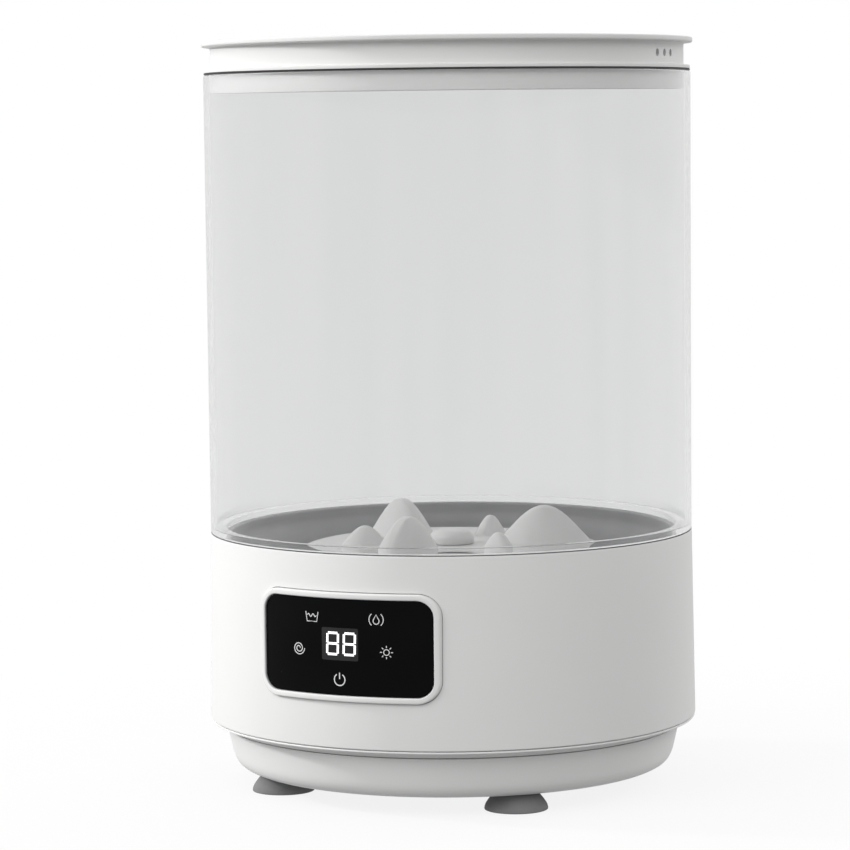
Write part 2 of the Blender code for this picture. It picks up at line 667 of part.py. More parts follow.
# ---------------------------------------------------------------- pulsator
def blade(name, height, centre, half_length, half_width):
    """A rounded mountain on the disc: sections across a radial ridge, lofted along the radius."""
    mesh = bpy.data.meshes.new(name)
    shape = bmesh.new()
    buried = DISC_TOP - PULSATOR_WALL * 0.6
    rings = []
    for along in (-1.0, -0.7, -0.35, 0.0, 0.35, 0.7, 1.0):
        share = max(0.0, math.cos(along * math.pi / 2)) ** 1.35
        width = half_width * (1 - abs(along) ** 1.6) ** 0.8 + 0.0006
        ring = [shape.verts.new((width, centre + along * half_length, buried))]
        for across in (1.0, 0.6, BLADE_FLAT, -BLADE_FLAT, -0.6, -1.0):
            rise = height * share * (1 - abs(across)) / (1 - BLADE_FLAT) - 0.0004
            ring.append(shape.verts.new((width * across, centre + along * half_length, DISC_TOP + rise)))
        ring.append(shape.verts.new((-width, centre + along * half_length, buried)))
        rings.append(ring)
    for first, second in zip(rings, rings[1:]):
        for a, b, c, d in zip(first, first[1:] + first[:1], second[1:] + second[:1], second):
            shape.faces.new((a, b, c, d))
    shape.faces.new(rings[0])
    shape.faces.new(list(reversed(rings[-1])))
    bmesh.ops.recalc_face_normals(shape, faces=shape.faces)
    shape.to_mesh(mesh)
    shape.free()
    return bpy.data.objects.new(name, mesh)


def make_pulsator():
    """The disc with three blades and three knolls between them, its cap and its screw."""
    lower = DISC_BOTTOM - 0.0028
    screw_hole = 0.002 + HOLE_SLACK
    bore = SHAFT_RADIUS + GAP
    rim = PULSATOR_RADIUS - PULSATOR_WALL
    profile = [
        (screw_hole, DISC_TOP),
        (PULSATOR_RADIUS - PULSATOR_RIM_ROUND, DISC_TOP),
        (PULSATOR_RADIUS - PULSATOR_RIM_ROUND * 0.4, DISC_TOP - PULSATOR_RIM_FALL * 0.36),
        (PULSATOR_RADIUS, DISC_TOP - PULSATOR_RIM_FALL),
        (PULSATOR_RADIUS, DISC_TOP - PULSATOR_SKIRT),
        (rim, DISC_TOP - PULSATOR_SKIRT),
        (rim, DISC_BOTTOM - PULSATOR_RIM_FALL * 0.6),
        (PULSATOR_RADIUS - PULSATOR_RIM_ROUND, DISC_BOTTOM),
        (PULSATOR_HUB_RADIUS, DISC_BOTTOM),
        (PULSATOR_HUB_RADIUS, lower),
        (bore, lower),
        (bore, DISC_BOTTOM),
        (screw_hole, DISC_BOTTOM),
    ]
    disc = place(turned("pulsator", profile, ROUND_LARGE), WHITE_ABS)
    for index in range(BLADE_COUNT):
        big = blade(f"blade_{index}", BLADE_HEIGHT, BLADE_CENTRE, BLADE_HALF_LENGTH, BLADE_HALF_WIDTH)
        small = blade(f"knoll_{index}", KNOLL_HEIGHT, KNOLL_CENTRE, KNOLL_HALF_LENGTH, KNOLL_HALF_WIDTH)
        turn = PULSATOR_TURN + 360 * index / BLADE_COUNT
        big.rotation_euler = (0.0, 0.0, math.radians(turn + 180))
        small.rotation_euler = (0.0, 0.0, math.radians(turn + 180 + 180 / BLADE_COUNT))
        join(disc, big)
        join(disc, small)
    for index in range(WATER_HOLE_COUNT):
        turn = PULSATOR_TURN + 360 * (index + 0.5) / WATER_HOLE_COUNT
        ends = [polar(WATER_HOLE_CIRCLE, turn, z) for z in (DISC_BOTTOM - 0.002, DISC_TOP + 0.002)]
        cut(disc, cylinder(f"water_hole_{index}", WATER_HOLE_RADIUS, *ends, 8))
    foot = DISC_TOP + GAP
    roof = foot + CAP_HEIGHT
    cap = [
        (0.0, roof),
        (CAP_RADIUS * 0.66, roof - 0.0003),
        (CAP_RADIUS * 0.88, roof - 0.0012),
        (CAP_RADIUS, foot + 0.0018),
        (CAP_RADIUS, foot),
        (CAP_RADIUS - CAP_WALL, foot),
        (CAP_RADIUS * 0.8 - CAP_WALL, roof - CAP_WALL - 0.0012),
        (0.0, roof - CAP_WALL - 0.0012),
    ]
    place(turned("pulsator_cap", cap, 24), WHITE_ABS)
    pan_head_screw("pulsator_screw", (0, 0, foot), (0, 0, foot - 0.013), 0.002, 0.004, 0.0026)


# ---------------------------------------------------------------- drive train
def loop_round(radius_a, radius_b, distance, steps_a, steps_b):
    """The outline of a band stretched round two circles whose centres lie on the X axis."""
    lean = math.acos((radius_a - radius_b) / distance)
    points = []
    for step in range(steps_a + 1):
        turn = lean + (math.tau - 2 * lean) * step / steps_a
        points.append((radius_a * math.cos(turn), radius_a * math.sin(turn)))
    for step in range(steps_b + 1):
        turn = -lean + 2 * lean * step / steps_b
        points.append((distance + radius_b * math.cos(turn), radius_b * math.sin(turn)))
    return points


def make_drive_frame():
    """The cast frame: flange under the bowl, bearing tube, and the plate that carries the motor."""
    seat = BEARING_RADIUS + RUNNING
    seal = SEAL_RADIUS + RUNNING
    waist = BEARING_RADIUS - 0.003
    top = BOWL_COLLAR_TOP - 0.0006
    lower_seat_top = LOWER_BEARING_BOTTOM + BEARING_HEIGHT + GAP
    profile = [
        (seal, top),
        (FRAME_TUBE_RADIUS, top),
        (FRAME_TUBE_RADIUS, FRAME_TOP),
        (FRAME_FLANGE_RADIUS, FRAME_TOP),
        (FRAME_FLANGE_RADIUS, FRAME_TOP - FRAME_FLANGE_THICK),
        (FRAME_TUBE_RADIUS, FRAME_TOP - FRAME_FLANGE_THICK),
        (FRAME_TUBE_RADIUS, FRAME_BOTTOM + 0.0005),
        (seat, FRAME_BOTTOM + 0.0005),
        (seat, lower_seat_top),
        (waist, lower_seat_top),
        (waist, UPPER_BEARING_BOTTOM - GAP),
        (seat, UPPER_BEARING_BOTTOM - GAP),
        (seat, SEAL_SEAT),
        (seal, SEAL_SEAT),
    ]
    frame = place(turned("drive_frame", profile, ROUND_MEDIUM), CAST)
    outline = loop_round(FRAME_TUBE_RADIUS + 0.006, MOTOR_RADIUS + 0.004, PULLEY_CENTRES, 14, 14)
    mesh = bpy.data.meshes.new("motor_plate")
    shape = bmesh.new()
    face = shape.faces.new([shape.verts.new((x, y, FRAME_BOTTOM)) for x, y in outline])
    pulled = bmesh.ops.extrude_face_region(shape, geom=[face])["geom"]
    moved = [item for item in pulled if isinstance(item, bmesh.types.BMVert)]
    bmesh.ops.translate(shape, vec=(0.0, 0.0, FRAME_PLATE_THICK), verts=moved)
    bmesh.ops.recalc_face_normals(shape, faces=shape.faces)
    shape.to_mesh(mesh)
    shape.free()
    join(frame, bpy.data.objects.new("motor_plate", mesh))
    deep, high = FRAME_BOTTOM - 0.01, FRAME_BOTTOM + 0.006
    cut(frame, cylinder("plate_bearing_hole", seat, (0, 0, deep), (0, 0, high - 0.001), ROUND_MEDIUM))
    x = MOTOR_AT[0]
    cut(frame, cylinder("plate_shaft_hole", 0.008, (x, 0, deep), (x, 0, high), 16))
    for side in (-1, 1):
        y = side * MOTOR_SCREW_CIRCLE
        cut(frame, cylinder(f"plate_screw_hole_{side}", 0.0015 + HOLE_SLACK, (x, y, deep), (x, y, high)))
    for index in range(4):
        ends = [polar(FRAME_SCREW_CIRCLE, 45 + 90 * index, z) for z in (FRAME_TOP - 0.01, FRAME_TOP + 0.005)]
        cut(frame, cylinder(f"flange_screw_hole_{index}", 0.002 + HOLE_SLACK, *ends))
        foot = polar(FRAME_SCREW_CIRCLE, 45 + 90 * index, BOWL_FLOOR + GAP)
        tip = foot - Vector((0.0, 0.0, 0.009))
        pan_head_screw(f"frame_screw_{index + 1}", foot, tip, 0.002, 0.0038, 0.0022, STEEL)


def ring(name, inner, outer, low, high, sides, material, centre=(0.0, 0.0)):
    """A plain ring between two levels."""
    profile = [(inner, high), (outer, high), (outer, low), (inner, low)]
    return place(turned(name, profile, sides, centre), material)


def pulley_profile(pitch, bore, hub):
    """Half of a grooved pulley about its own middle level."""
    rim = pitch + PULLEY_RIM_OVER_PITCH
    bed = rim - PULLEY_GROOVE_DEPTH
    inner_rim = bed - 0.0035
    web = 0.0016
    bed_half = PULLEY_GROOVE_HALF - 0.0015
    upper = [(bore, HUB_HALF), (hub, HUB_HALF)]
    if inner_rim > hub + 0.004:
        upper += [(hub, web), (inner_rim, web), (inner_rim, PULLEY_HALF_HEIGHT)]
    else:
        upper += [(hub, PULLEY_HALF_HEIGHT)]
    upper += [(rim, PULLEY_HALF_HEIGHT), (rim, PULLEY_GROOVE_HALF), (bed, bed_half)]
    return [(r, PULLEY_LEVEL + z) for r, z in upper] + [(r, PULLEY_LEVEL - z) for r, z in reversed(upper)]


def make_drive_train():
    """Shaft, bearings, seal, pulleys, nut and belt."""
    bore = SHAFT_RADIUS + RUNNING
    hole_end = SHAFT_TOP - 0.0125
    shaft = [
        (0.0, hole_end),
        (0.002 + HOLE_SLACK, hole_end),
        (0.002 + HOLE_SLACK, SHAFT_TOP),
        (SHAFT_RADIUS, SHAFT_TOP),
        (SHAFT_RADIUS, SHAFT_BOTTOM),
        (0.0, SHAFT_BOTTOM),
    ]
    place(turned("drive_shaft", shaft, 16), STEEL)
    outer = BEARING_RADIUS - RUNNING
    upper, lower = UPPER_BEARING_BOTTOM, LOWER_BEARING_BOTTOM
    ring("upper_bearing", bore + RUNNING, outer, upper, upper + BEARING_HEIGHT, ROUND_MEDIUM, ZINC)
    ring("lower_bearing", bore + RUNNING, outer, lower, lower + BEARING_HEIGHT, ROUND_MEDIUM, ZINC)
    seal_low, seal_top = SEAL_SEAT + GAP, SEAL_SEAT + GAP + SEAL_HEIGHT - 0.001
    seal_outer = SEAL_RADIUS - RUNNING
    ring("shaft_seal", bore + RUNNING, seal_outer, seal_low, seal_top, ROUND_MEDIUM, DARK_RUBBER)
    large = pulley_profile(PULLEY_PITCH_LARGE, bore + RUNNING, 0.009)
    place(turned("drive_pulley", large, ROUND_MEDIUM), ACETAL)
    nut_top = PULLEY_LEVEL - HUB_HALF - GAP
    nut_bore = (SHAFT_RADIUS + RUNNING) / math.cos(math.pi / 6)
    ring("pulley_nut", nut_bore, 0.0075, nut_top - 0.0045, nut_top, 6, ZINC)
    small = pulley_profile(PULLEY_PITCH_SMALL, MOTOR_SHAFT_RADIUS + 2 * RUNNING, 0.0065)
    place(turned("motor_pulley", small, 20, MOTOR_AT), ACETAL)
    route = loop_round(PULLEY_PITCH_LARGE, PULLEY_PITCH_SMALL, PULLEY_CENTRES, 26, 9)
    track = [(x, y, PULLEY_LEVEL) for x, y in route]
    wire("drive_belt", track, BELT_RADIUS, BELT_PU, cyclic=True, resolution=1)


def make_motor():
    """The motor: end cap on the frame's plate, can, stator, and a rotor on its shaft."""
    cap_top = MOTOR_BOTTOM + 0.003
    can_bottom = cap_top + GAP
    ceiling = MOTOR_TOP - MOTOR_SHEET
    bore = MOTOR_SHAFT_RADIUS + 2 * RUNNING
    sizes = (bore, MOTOR_RADIUS, MOTOR_BOTTOM, cap_top)
    end_cap = ring("motor_end_cap", *sizes, ROUND_MEDIUM, ZINC, MOTOR_AT)
    x = MOTOR_AT[0]
    for index, side in enumerate((-1, 1)):
        y = side * MOTOR_SCREW_CIRCLE
        hole = [(x, y, MOTOR_BOTTOM - 0.002), (x, y, cap_top + 0.002)]
        cut(end_cap, cylinder(f"end_cap_hole_{index}", 0.0015 + HOLE_SLACK, *hole))
        foot = (x, y, FRAME_BOTTOM - GAP)
        pan_head_screw(f"motor_screw_{index + 1}", foot, (x, y, cap_top - 0.0002), 0.0015, 0.0028, 0.0018)
    inner = MOTOR_RADIUS - MOTOR_SHEET
    can = [
        (0.0, MOTOR_TOP),
        (MOTOR_RADIUS, MOTOR_TOP),
        (MOTOR_RADIUS, can_bottom),
        (inner, can_bottom),
        (inner, ceiling),
        (0.0, ceiling),
    ]
    place(turned("motor_can", can, ROUND_MEDIUM, MOTOR_AT), ZINC)
    low, high = can_bottom + 0.004, ceiling - 0.006
    rotor_outer = inner * 0.55
    ring("motor_stator", rotor_outer + 0.0008, inner - GAP, low, high, ROUND_MEDIUM, COPPER, MOTOR_AT)
    ring("motor_rotor", bore, rotor_outer, low + 0.001, high - 0.001, 20, ZINC, MOTOR_AT)
    bottom = PULLEY_LEVEL - HUB_HALF - 0.0015
    top, radius = high + 0.002, MOTOR_SHAFT_RADIUS
    shaft = [(0.0, top), (radius, top), (radius, bottom), (0.0, bottom)]
    place(turned("motor_shaft", shaft, ROUND_SMALL, MOTOR_AT), STEEL)


# ---------------------------------------------------------------- control panel
def curved_panel(name, width, height, corner, outer, inner):
    """A rounded rectangle of the shell between two radii about the barrel's axis."""
    panel = rounded_prism(name, width, height, corner, -outer - 0.02, -inner + 0.03)
    low, high = PANEL_Z - height, PANEL_Z + height
    shell = turned(f"{name}_shell", [(inner, high), (outer, high), (outer, low), (inner, low)], 96)
    return cut(panel, shell, "INTERSECT")


def make_panel():
    """Frame, black glass, digit module and the board that stands behind them on four pins."""
    width, height = PANEL_WIDTH, PANEL_HEIGHT
    border = PANEL_BORDER
    glass_out = PANEL_FACE - GLASS_BELOW_FRAME
    glass_in = glass_out - GLASS_THICK
    back = PANEL_FACE - PANEL_DEPTH
    frame = place(curved_panel("panel_frame", width, height, PANEL_CORNER, PANEL_FACE, back), WHITE_ABS)
    bed = glass_in - GAP
    inset = (width - 2 * border, height - 2 * border, PANEL_CORNER - border)
    cut(frame, curved_panel("glass_pocket", *inset, PANEL_FACE + 0.01, bed))
    shut = border + PANEL_LIP
    hole = rounded_prism(
        "panel_opening", width - 2 * shut, height - 2 * shut, PANEL_CORNER - shut, -PANEL_FACE - 0.01, -0.09
    )
    cut(frame, hole)
    pane = (width - 2 * border - 2 * GAP, height - 2 * border - 2 * GAP, PANEL_CORNER - border - GAP)
    place(curved_panel("panel_glass", *pane, glass_out, glass_in), BLACK_GLASS)
    board_front, board_back = -BOARD_SETBACK - BOARD_THICK, -BOARD_SETBACK
    board = place(
        block(
            "display_board",
            (-BOARD_HALF_WIDTH, board_front, PANEL_Z - BOARD_HALF_HEIGHT),
            (BOARD_HALF_WIDTH, board_back, PANEL_Z + BOARD_HALF_HEIGHT),
        ),
        GREEN_BOARD,
    )
    post_x = width / 2 - shut / 2
    for index, (side, level) in enumerate(((-1, -1), (-1, 1), (1, -1), (1, 1))):
        x, z = side * post_x, PANEL_Z + level * 0.010
        root = -math.sqrt(back**2 - post_x**2) - 0.0012
        ends = [(x, root, z), (x, board_front - GAP, z)]
        join(frame, cylinder(f"panel_post_{index}", BOARD_POST_RADIUS, *ends))
        ends = [(x, board_front - 0.0015, z), (x, board_back + 0.0015, z)]
        join(frame, cylinder(f"panel_pin_{index}", BOARD_PIN_RADIUS, *ends, 8))
        clear = BOARD_PIN_RADIUS + HOLE_SLACK
        ends = [(x, board_front - 0.002, z), (x, board_back + 0.002, z)]
        cut(board, cylinder(f"board_hole_{index}", clear, *ends, 8))
    digits_width, digits_height = DIGITS_SIZE
    middle = PANEL_Z + 0.0014
    digits_front = -math.sqrt(glass_in**2 - (digits_width / 2) ** 2) + 0.0006
    digits = block(
        "digit_module",
        (-digits_width / 2, digits_front, middle - digits_height / 2),
        (digits_width / 2, board_front - GAP, middle + digits_height / 2),
    )
    place(digits, BLACK_PLASTIC)
    for index, (x, z) in enumerate(KEY_PLACES):
        reach = -math.sqrt(glass_in**2 - (abs(x) + PAD_RADIUS) ** 2) + 0.0006
        ends = [(x, reach, PANEL_Z + z), (x, board_front + 0.0005, PANEL_Z + z)]
        join(board, cylinder(f"touch_spring_{index}", PAD_RADIUS, *ends))


def board_corners():
    """The four posts of the control board."""
    x, y = CONTROL_BOARD_SIZE[0] / 2 - 0.005, CONTROL_BOARD_SIZE[1] / 2 - 0.005
    middle_x, middle_y = CONTROL_BOARD_AT
    return [(middle_x + a * x, middle_y + b * y) for a, b in ((-1, -1), (1, -1), (1, 1), (-1, 1))]


def make_control_board():
    """The control board on the pan's posts, with its capacitor."""
    x, y = CONTROL_BOARD_AT
    half_x, half_y = CONTROL_BOARD_SIZE[0] / 2, CONTROL_BOARD_SIZE[1] / 2
    low, high = (x - half_x, y - half_y, BOARD_LEVEL), (x + half_x, y + half_y, BOARD_TOP)
    board = place(block("control_board", low, high), GREEN_BOARD)
    for index, (post_x, post_y) in enumerate(board_corners()):
        ends = [(post_x, post_y, BOARD_LEVEL - 0.002), (post_x, post_y, BOARD_TOP + 0.002)]
        cut(board, cylinder(f"control_board_hole_{index}", 0.0013 + HOLE_SLACK, *ends, 8))
    sunk = BOARD_TOP - 0.0004
    join(board, block("relay", (x - 0.03, y - 0.008, sunk), (x - 0.012, y + 0.006, BOARD_TOP + 0.010)))
    join(board, block("driver", (x - 0.004, y + 0.004, sunk), (x + 0.008, y + 0.014, BOARD_TOP + 0.003)))
    foot = BOARD_TOP + GAP
    ends = [(x - 0.004, y - 0.014, foot), (x - 0.004, y - 0.014, foot + 0.011)]
    place(cylinder("board_capacitor", 0.006, *ends), WIRE)


# ---------------------------------------------------------------- rear connections and leads
def facing_rear(obj, x, y):
    """Turns a piece made about Z so that its +Z points to the rear, and puts it in a rear well."""
    obj.location = (x, y, REAR_Z)
    obj.rotation_euler = (-math.pi / 2, 0.0, 0.0)
    return obj


def make_rear_connections():
    """The power jack with its nut on one side, the drain spout with its bung on the other."""
    face = REAR_FACE + GAP
    flange = 0.0014
    jack = [
        (0.0, -0.008),
        (JACK_BORE, -0.008),
        (JACK_BORE, flange),
        (JACK_RADIUS + 0.0028, flange),
        (JACK_RADIUS + 0.0028, 0.0),
        (JACK_RADIUS, 0.0),
        (JACK_RADIUS, -JACK_LENGTH),
        (0.0, -JACK_LENGTH),
    ]
    place(facing_rear(turned("power_jack", jack, 16), REAR_OFFSET, face), BLACK_PLASTIC)
    nut = -REAR_BLOCK_DEPTH - 2 * GAP
    nut_profile = [
        (JACK_RADIUS + HOLE_SLACK, nut),
        (JACK_RADIUS + 0.003, nut),
        (JACK_RADIUS + 0.003, nut - 0.0025),
        (JACK_RADIUS + HOLE_SLACK, nut - 0.0025),
    ]
    place(facing_rear(turned("jack_nut", nut_profile, 16), REAR_OFFSET, face), ZINC)
    spout = [
        (SPOUT_BORE, flange),
        (SPOUT_RADIUS + 0.002, flange),
        (SPOUT_RADIUS + 0.002, 0.0),
        (SPOUT_RADIUS, 0.0),
        (SPOUT_RADIUS, -SPOUT_LENGTH),
        (SPOUT_BORE, -SPOUT_LENGTH),
    ]
    place(facing_rear(turned("drain_spout", spout, 16), -REAR_OFFSET, face), WHITE_ABS)
    stem = SPOUT_BORE - GAP
    head = flange + GAP
    grip = PANEL_FACE - face
    bung = [
        (0.0, grip),
        (0.0034, grip),
        (0.0040, head + 0.0018),
        (BUNG_HEAD_RADIUS, head + 0.0014),
        (BUNG_HEAD_RADIUS, head),
        (stem, head),
        (stem - 0.0006, -BUNG_LENGTH),
        (0.0, -BUNG_LENGTH),
    ]
    place(facing_rear(turned("drain_bung", bung, 16), -REAR_OFFSET, face), DARK_RUBBER)
    x, y = DRAIN_AT
    start = BOWL_FLOOR - BOWL_SHEET - DRAIN_NIPPLE_LENGTH - GAP
    end = face - SPOUT_LENGTH - GAP
    hose = [
        (x, y, start),
        (x, y, start - 0.010),
        (x, y + 0.004, start - 0.024),
        (x, (y + end) / 2, REAR_Z + 0.008),
        (x, end - 0.010, REAR_Z + 0.0005),
        (x, end, REAR_Z),
    ]
    wire("drain_hose", smooth_route(hose, 4), DRAIN_BORE + 0.0018, HOSE)


def make_leads():
    """Three leads: motor, power jack and display board, each to the control board."""
    x, y = CONTROL_BOARD_AT
    top = BOARD_TOP + 2.5 * GAP
    motor_x = MOTOR_AT[0]
    motor = [
        (motor_x + 0.004, -0.012, MOTOR_TOP + 2 * GAP),
        (motor_x + 0.004, -0.0125, MOTOR_TOP + 0.0026),
        (motor_x + 0.0055, -0.018, MOTOR_TOP + 0.0042),
        (motor_x + 0.010, -0.029, MOTOR_TOP + 0.0025),
        (motor_x + 0.013, -0.036, MOTOR_TOP - 0.008),
        (motor_x + 0.013, -0.041, MOTOR_TOP - 0.030),
        (motor_x + 0.004, -0.048, FRAME_BOTTOM - 0.012),
        (x + 0.036, y, top + 0.008),
        (x + 0.036, y, top),
    ]
    wire("motor_lead", smooth_route(motor, 3), 0.0013, WIRE, resolution=1)
    jack = [
        (REAR_OFFSET, REAR_FACE - JACK_LENGTH - GAP * 0.5, REAR_Z),
        (REAR_OFFSET + 0.004, REAR_FACE - JACK_LENGTH - 0.010, REAR_Z - 0.002),
        (0.062, 0.062, 0.034),
        (0.082, 0.018, 0.026),
        (0.070, -0.026, 0.026),
        (x + 0.034, y + 0.018, top + 0.008),
        (x + 0.034, y + 0.018, top),
    ]
    wire("power_lead", smooth_route(jack, 3), 0.0013, WIRE, resolution=1)
    display = [
        (0.018, -BOARD_SETBACK + GAP, PANEL_Z - 0.014),
        (0.018, -BOARD_SETBACK + 0.006, PANEL_Z - 0.016),
        (0.018, 0.0165 - BOARD_SETBACK, PANEL_Z - 0.034),
        (x + 0.012, y - 0.018, top + 0.009),
        (x + 0.012, y - 0.018, top),
    ]
    wire("display_lead", smooth_route(display, 3), 0.0013, RIBBON, resolution=1)


# ---------------------------------------------------------------- lid
def vent_cutter(name, azimuth):
    """A slanted oval bar that runs outwards through the lid's neck."""
    mesh = bpy.data.meshes.new(name)
    shape = bmesh.new()
    bmesh.ops.create_cone(shape, cap_ends=True, segments=12, radius1=1.0, radius2=1.0, depth=0.012)
    bmesh.ops.scale(shape, vec=(VENT_HALF_WIDTH, VENT_HALF_HEIGHT, 1.0), verts=shape.verts)
    slant = Matrix.Rotation(math.radians(VENT_SLANT), 4, "Z")
    outwards = polar(1.0, azimuth).to_track_quat("Z", "Y").to_matrix().to_4x4()
    level = LID_FOOT + LID_FOOT_THICK + VENT_HEIGHT_ABOVE_FOOT
    middle = Matrix.Translation(polar(LID_NECK_RADIUS, azimuth, level))
    bmesh.ops.transform(shape, matrix=middle @ outwards @ slant, verts=shape.verts)
    shape.to_mesh(mesh)
    shape.free()
    return bpy.data.objects.new(name, mesh)


def make_lid():
    """Cover with neck and vents, seal, liner with its skirt, and four screws."""
    ceiling = LID_TOP - LID_WALL
    neck_inner = LID_NECK_RADIUS - LID_WALL
    rounding = 0.0008
    cover = [
        (0.0, LID_TOP),
        (LID_RADIUS - rounding, LID_TOP),
        (LID_RADIUS, LID_TOP - rounding),
        (LID_RADIUS, LID_TOP - LID_EDGE),
        (LID_NECK_RADIUS, LID_TOP - LID_EDGE - 0.0004),
        (LID_NECK_RADIUS, LID_FOOT + LID_FOOT_THICK),
        (LID_FOOT_RADIUS, LID_FOOT + LID_FOOT_THICK),
        (LID_FOOT_RADIUS, LID_FOOT),
        (neck_inner, LID_FOOT),
        (neck_inner, ceiling),
        (0.0, ceiling),
    ]
    lid = place(turned("lid_cover", cover, ROUND_LARGE), WHITE_ABS)
    for index in range(VENT_COUNT):
        azimuth = VENT_AZIMUTH + VENT_PITCH * (index - (VENT_COUNT - 1) / 2)
        cut(lid, vent_cutter(f"vent_{index}", azimuth))
    plate = 0.002
    liner_top = LINER_TOP
    liner = [
        (0.0, liner_top),
        (SKIRT_RADIUS, liner_top),
        (SKIRT_RADIUS, LINER_BOTTOM),
        (SKIRT_RADIUS - plate, LINER_BOTTOM),
        (SKIRT_RADIUS - plate, liner_top - plate),
        (0.0, liner_top - plate),
    ]
    under = place(turned("lid_liner", liner, ROUND_LARGE), WHITE_ABS)
    seal_low = TUB_TOP + GAP
    seal_high = seal_low + LID_SEAL_THICK
    ring("lid_seal", SKIRT_RADIUS + GAP, LID_FOOT_RADIUS, seal_low, seal_high, ROUND_LARGE, DARK_RUBBER)
    for index in range(4):
        azimuth = 45 + 90 * index
        low = polar(LID_BOSS_CIRCLE, azimuth, liner_top + GAP)
        high = polar(LID_BOSS_CIRCLE, azimuth, ceiling + 0.001)
        join(lid, cylinder(f"lid_boss_{index}", LID_BOSS_RADIUS, low, high))
        foot = polar(LID_BOSS_CIRCLE, azimuth, liner_top - plate - GAP)
        tip = foot + Vector((0.0, 0.0, 0.009))
        pan_head_screw(f"lid_screw_{index + 1}", foot, tip, 0.0015, 0.003, 0.0018)
        for target, cutter in ((lid, "lid_boss_hole"), (under, "liner_hole")):
            ends = [foot - Vector((0.0, 0.0, 0.002)), tip + Vector((0.0, 0.0, 0.001))]
            cut(target, cylinder(f"{cutter}_{index}", 0.0015 + HOLE_SLACK, *ends))


make_feet()
make_base_pan()
make_case_screws()
make_trim_ring()
make_housing()
make_tub()
make_bowl()
make_pulsator()
make_drive_frame()
make_drive_train()
make_motor()
make_panel()
make_control_board()
make_rear_connections()
make_leads()
make_lid()
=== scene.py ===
import math

import bmesh
import bpy
from mathutils import Matrix, Vector


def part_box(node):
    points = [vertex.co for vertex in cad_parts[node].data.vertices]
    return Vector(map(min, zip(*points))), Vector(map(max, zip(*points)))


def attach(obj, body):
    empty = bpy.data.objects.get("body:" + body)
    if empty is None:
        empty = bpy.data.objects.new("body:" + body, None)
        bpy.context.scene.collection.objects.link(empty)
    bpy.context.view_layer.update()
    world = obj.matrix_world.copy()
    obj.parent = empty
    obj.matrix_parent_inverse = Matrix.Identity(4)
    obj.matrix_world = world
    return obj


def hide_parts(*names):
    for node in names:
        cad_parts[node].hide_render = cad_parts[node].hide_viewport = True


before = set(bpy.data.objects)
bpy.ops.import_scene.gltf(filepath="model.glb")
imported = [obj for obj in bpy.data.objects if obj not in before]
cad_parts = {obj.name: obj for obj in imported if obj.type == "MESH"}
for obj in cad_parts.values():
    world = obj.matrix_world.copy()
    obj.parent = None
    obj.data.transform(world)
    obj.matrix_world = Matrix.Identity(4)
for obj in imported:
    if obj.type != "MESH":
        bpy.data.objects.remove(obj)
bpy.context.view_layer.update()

# -------- studio
# A plain pale floor without an edge, a bright surround, a small key light and a large soft one from
# the left, and a weak light behind the right shoulder.
MM = 0.001
CAMERA_AZIMUTH = 25.5
CAMERA_DISTANCE = 1.8332
CAMERA_HEIGHT = 0.3354
CAMERA_LENS = 151.56
CAMERA_PAN, CAMERA_TILT, CAMERA_ROLL = 0.405, -4.741, -0.615
HORIZON, BRIGHTEST, BRIGHTEST_AT = 0.28, 1.70, 0.6  # of the surround; the last is its height's sine
REFLECTED = 0.78  # the surround's grey in reflections and through the barrel


def around(radius, azimuth, z=0.0):
    """A point at this radius and azimuth; azimuth 0 is the front, -Y, and grows towards +X."""
    turn = math.radians(azimuth)
    return Vector((radius * math.sin(turn), -radius * math.cos(turn), z))


def linear(hex_colour):
    """An sRGB hex colour as linear RGBA."""
    channels = [int(hex_colour[i : i + 2], 16) / 255 for i in (1, 3, 5)]
    return (*(c / 12.92 if c <= 0.04045 else ((c + 0.055) / 1.055) ** 2.4 for c in channels), 1.0)


def add(tree, kind, links=None, **settings):
    """Adds a node. links maps an input's name or number to a value, or to a socket to link from."""
    made = tree.nodes.new(kind)
    for key, value in settings.items():
        setattr(made, key, value)
    for key, value in (links or {}).items():
        if isinstance(value, bpy.types.NodeSocket):
            tree.links.new(value, made.inputs[key])
        else:
            made.inputs[key].default_value = value
    return made


def placed(name, data):
    """A new object in the scene that holds this data."""
    made = bpy.data.objects.new(name, data)
    bpy.context.scene.collection.objects.link(made)
    return made


def plain(name):
    """A new material, with its node tree and its shader."""
    material = bpy.data.materials.new(name)
    material.use_nodes = True
    return material, material.node_tree, material.node_tree.nodes["Principled BSDF"]


camera = placed("camera", bpy.data.cameras.new("camera"))
camera.data.sensor_width = 36.0
camera.data.lens = CAMERA_LENS
camera.data.clip_end = 100.0
tilt = Matrix.Rotation(math.radians(90 + CAMERA_TILT), 4, "X")
look = Matrix.Rotation(math.radians(CAMERA_AZIMUTH + CAMERA_PAN), 4, "Z")
look @= tilt @ Matrix.Rotation(math.radians(CAMERA_ROLL), 4, "Z")
eye = around(CAMERA_DISTANCE, CAMERA_AZIMUTH, CAMERA_HEIGHT)
camera.matrix_world = Matrix.Translation(eye) @ look
bpy.context.scene.camera = camera
bpy.context.scene.view_settings.view_transform = "Standard"


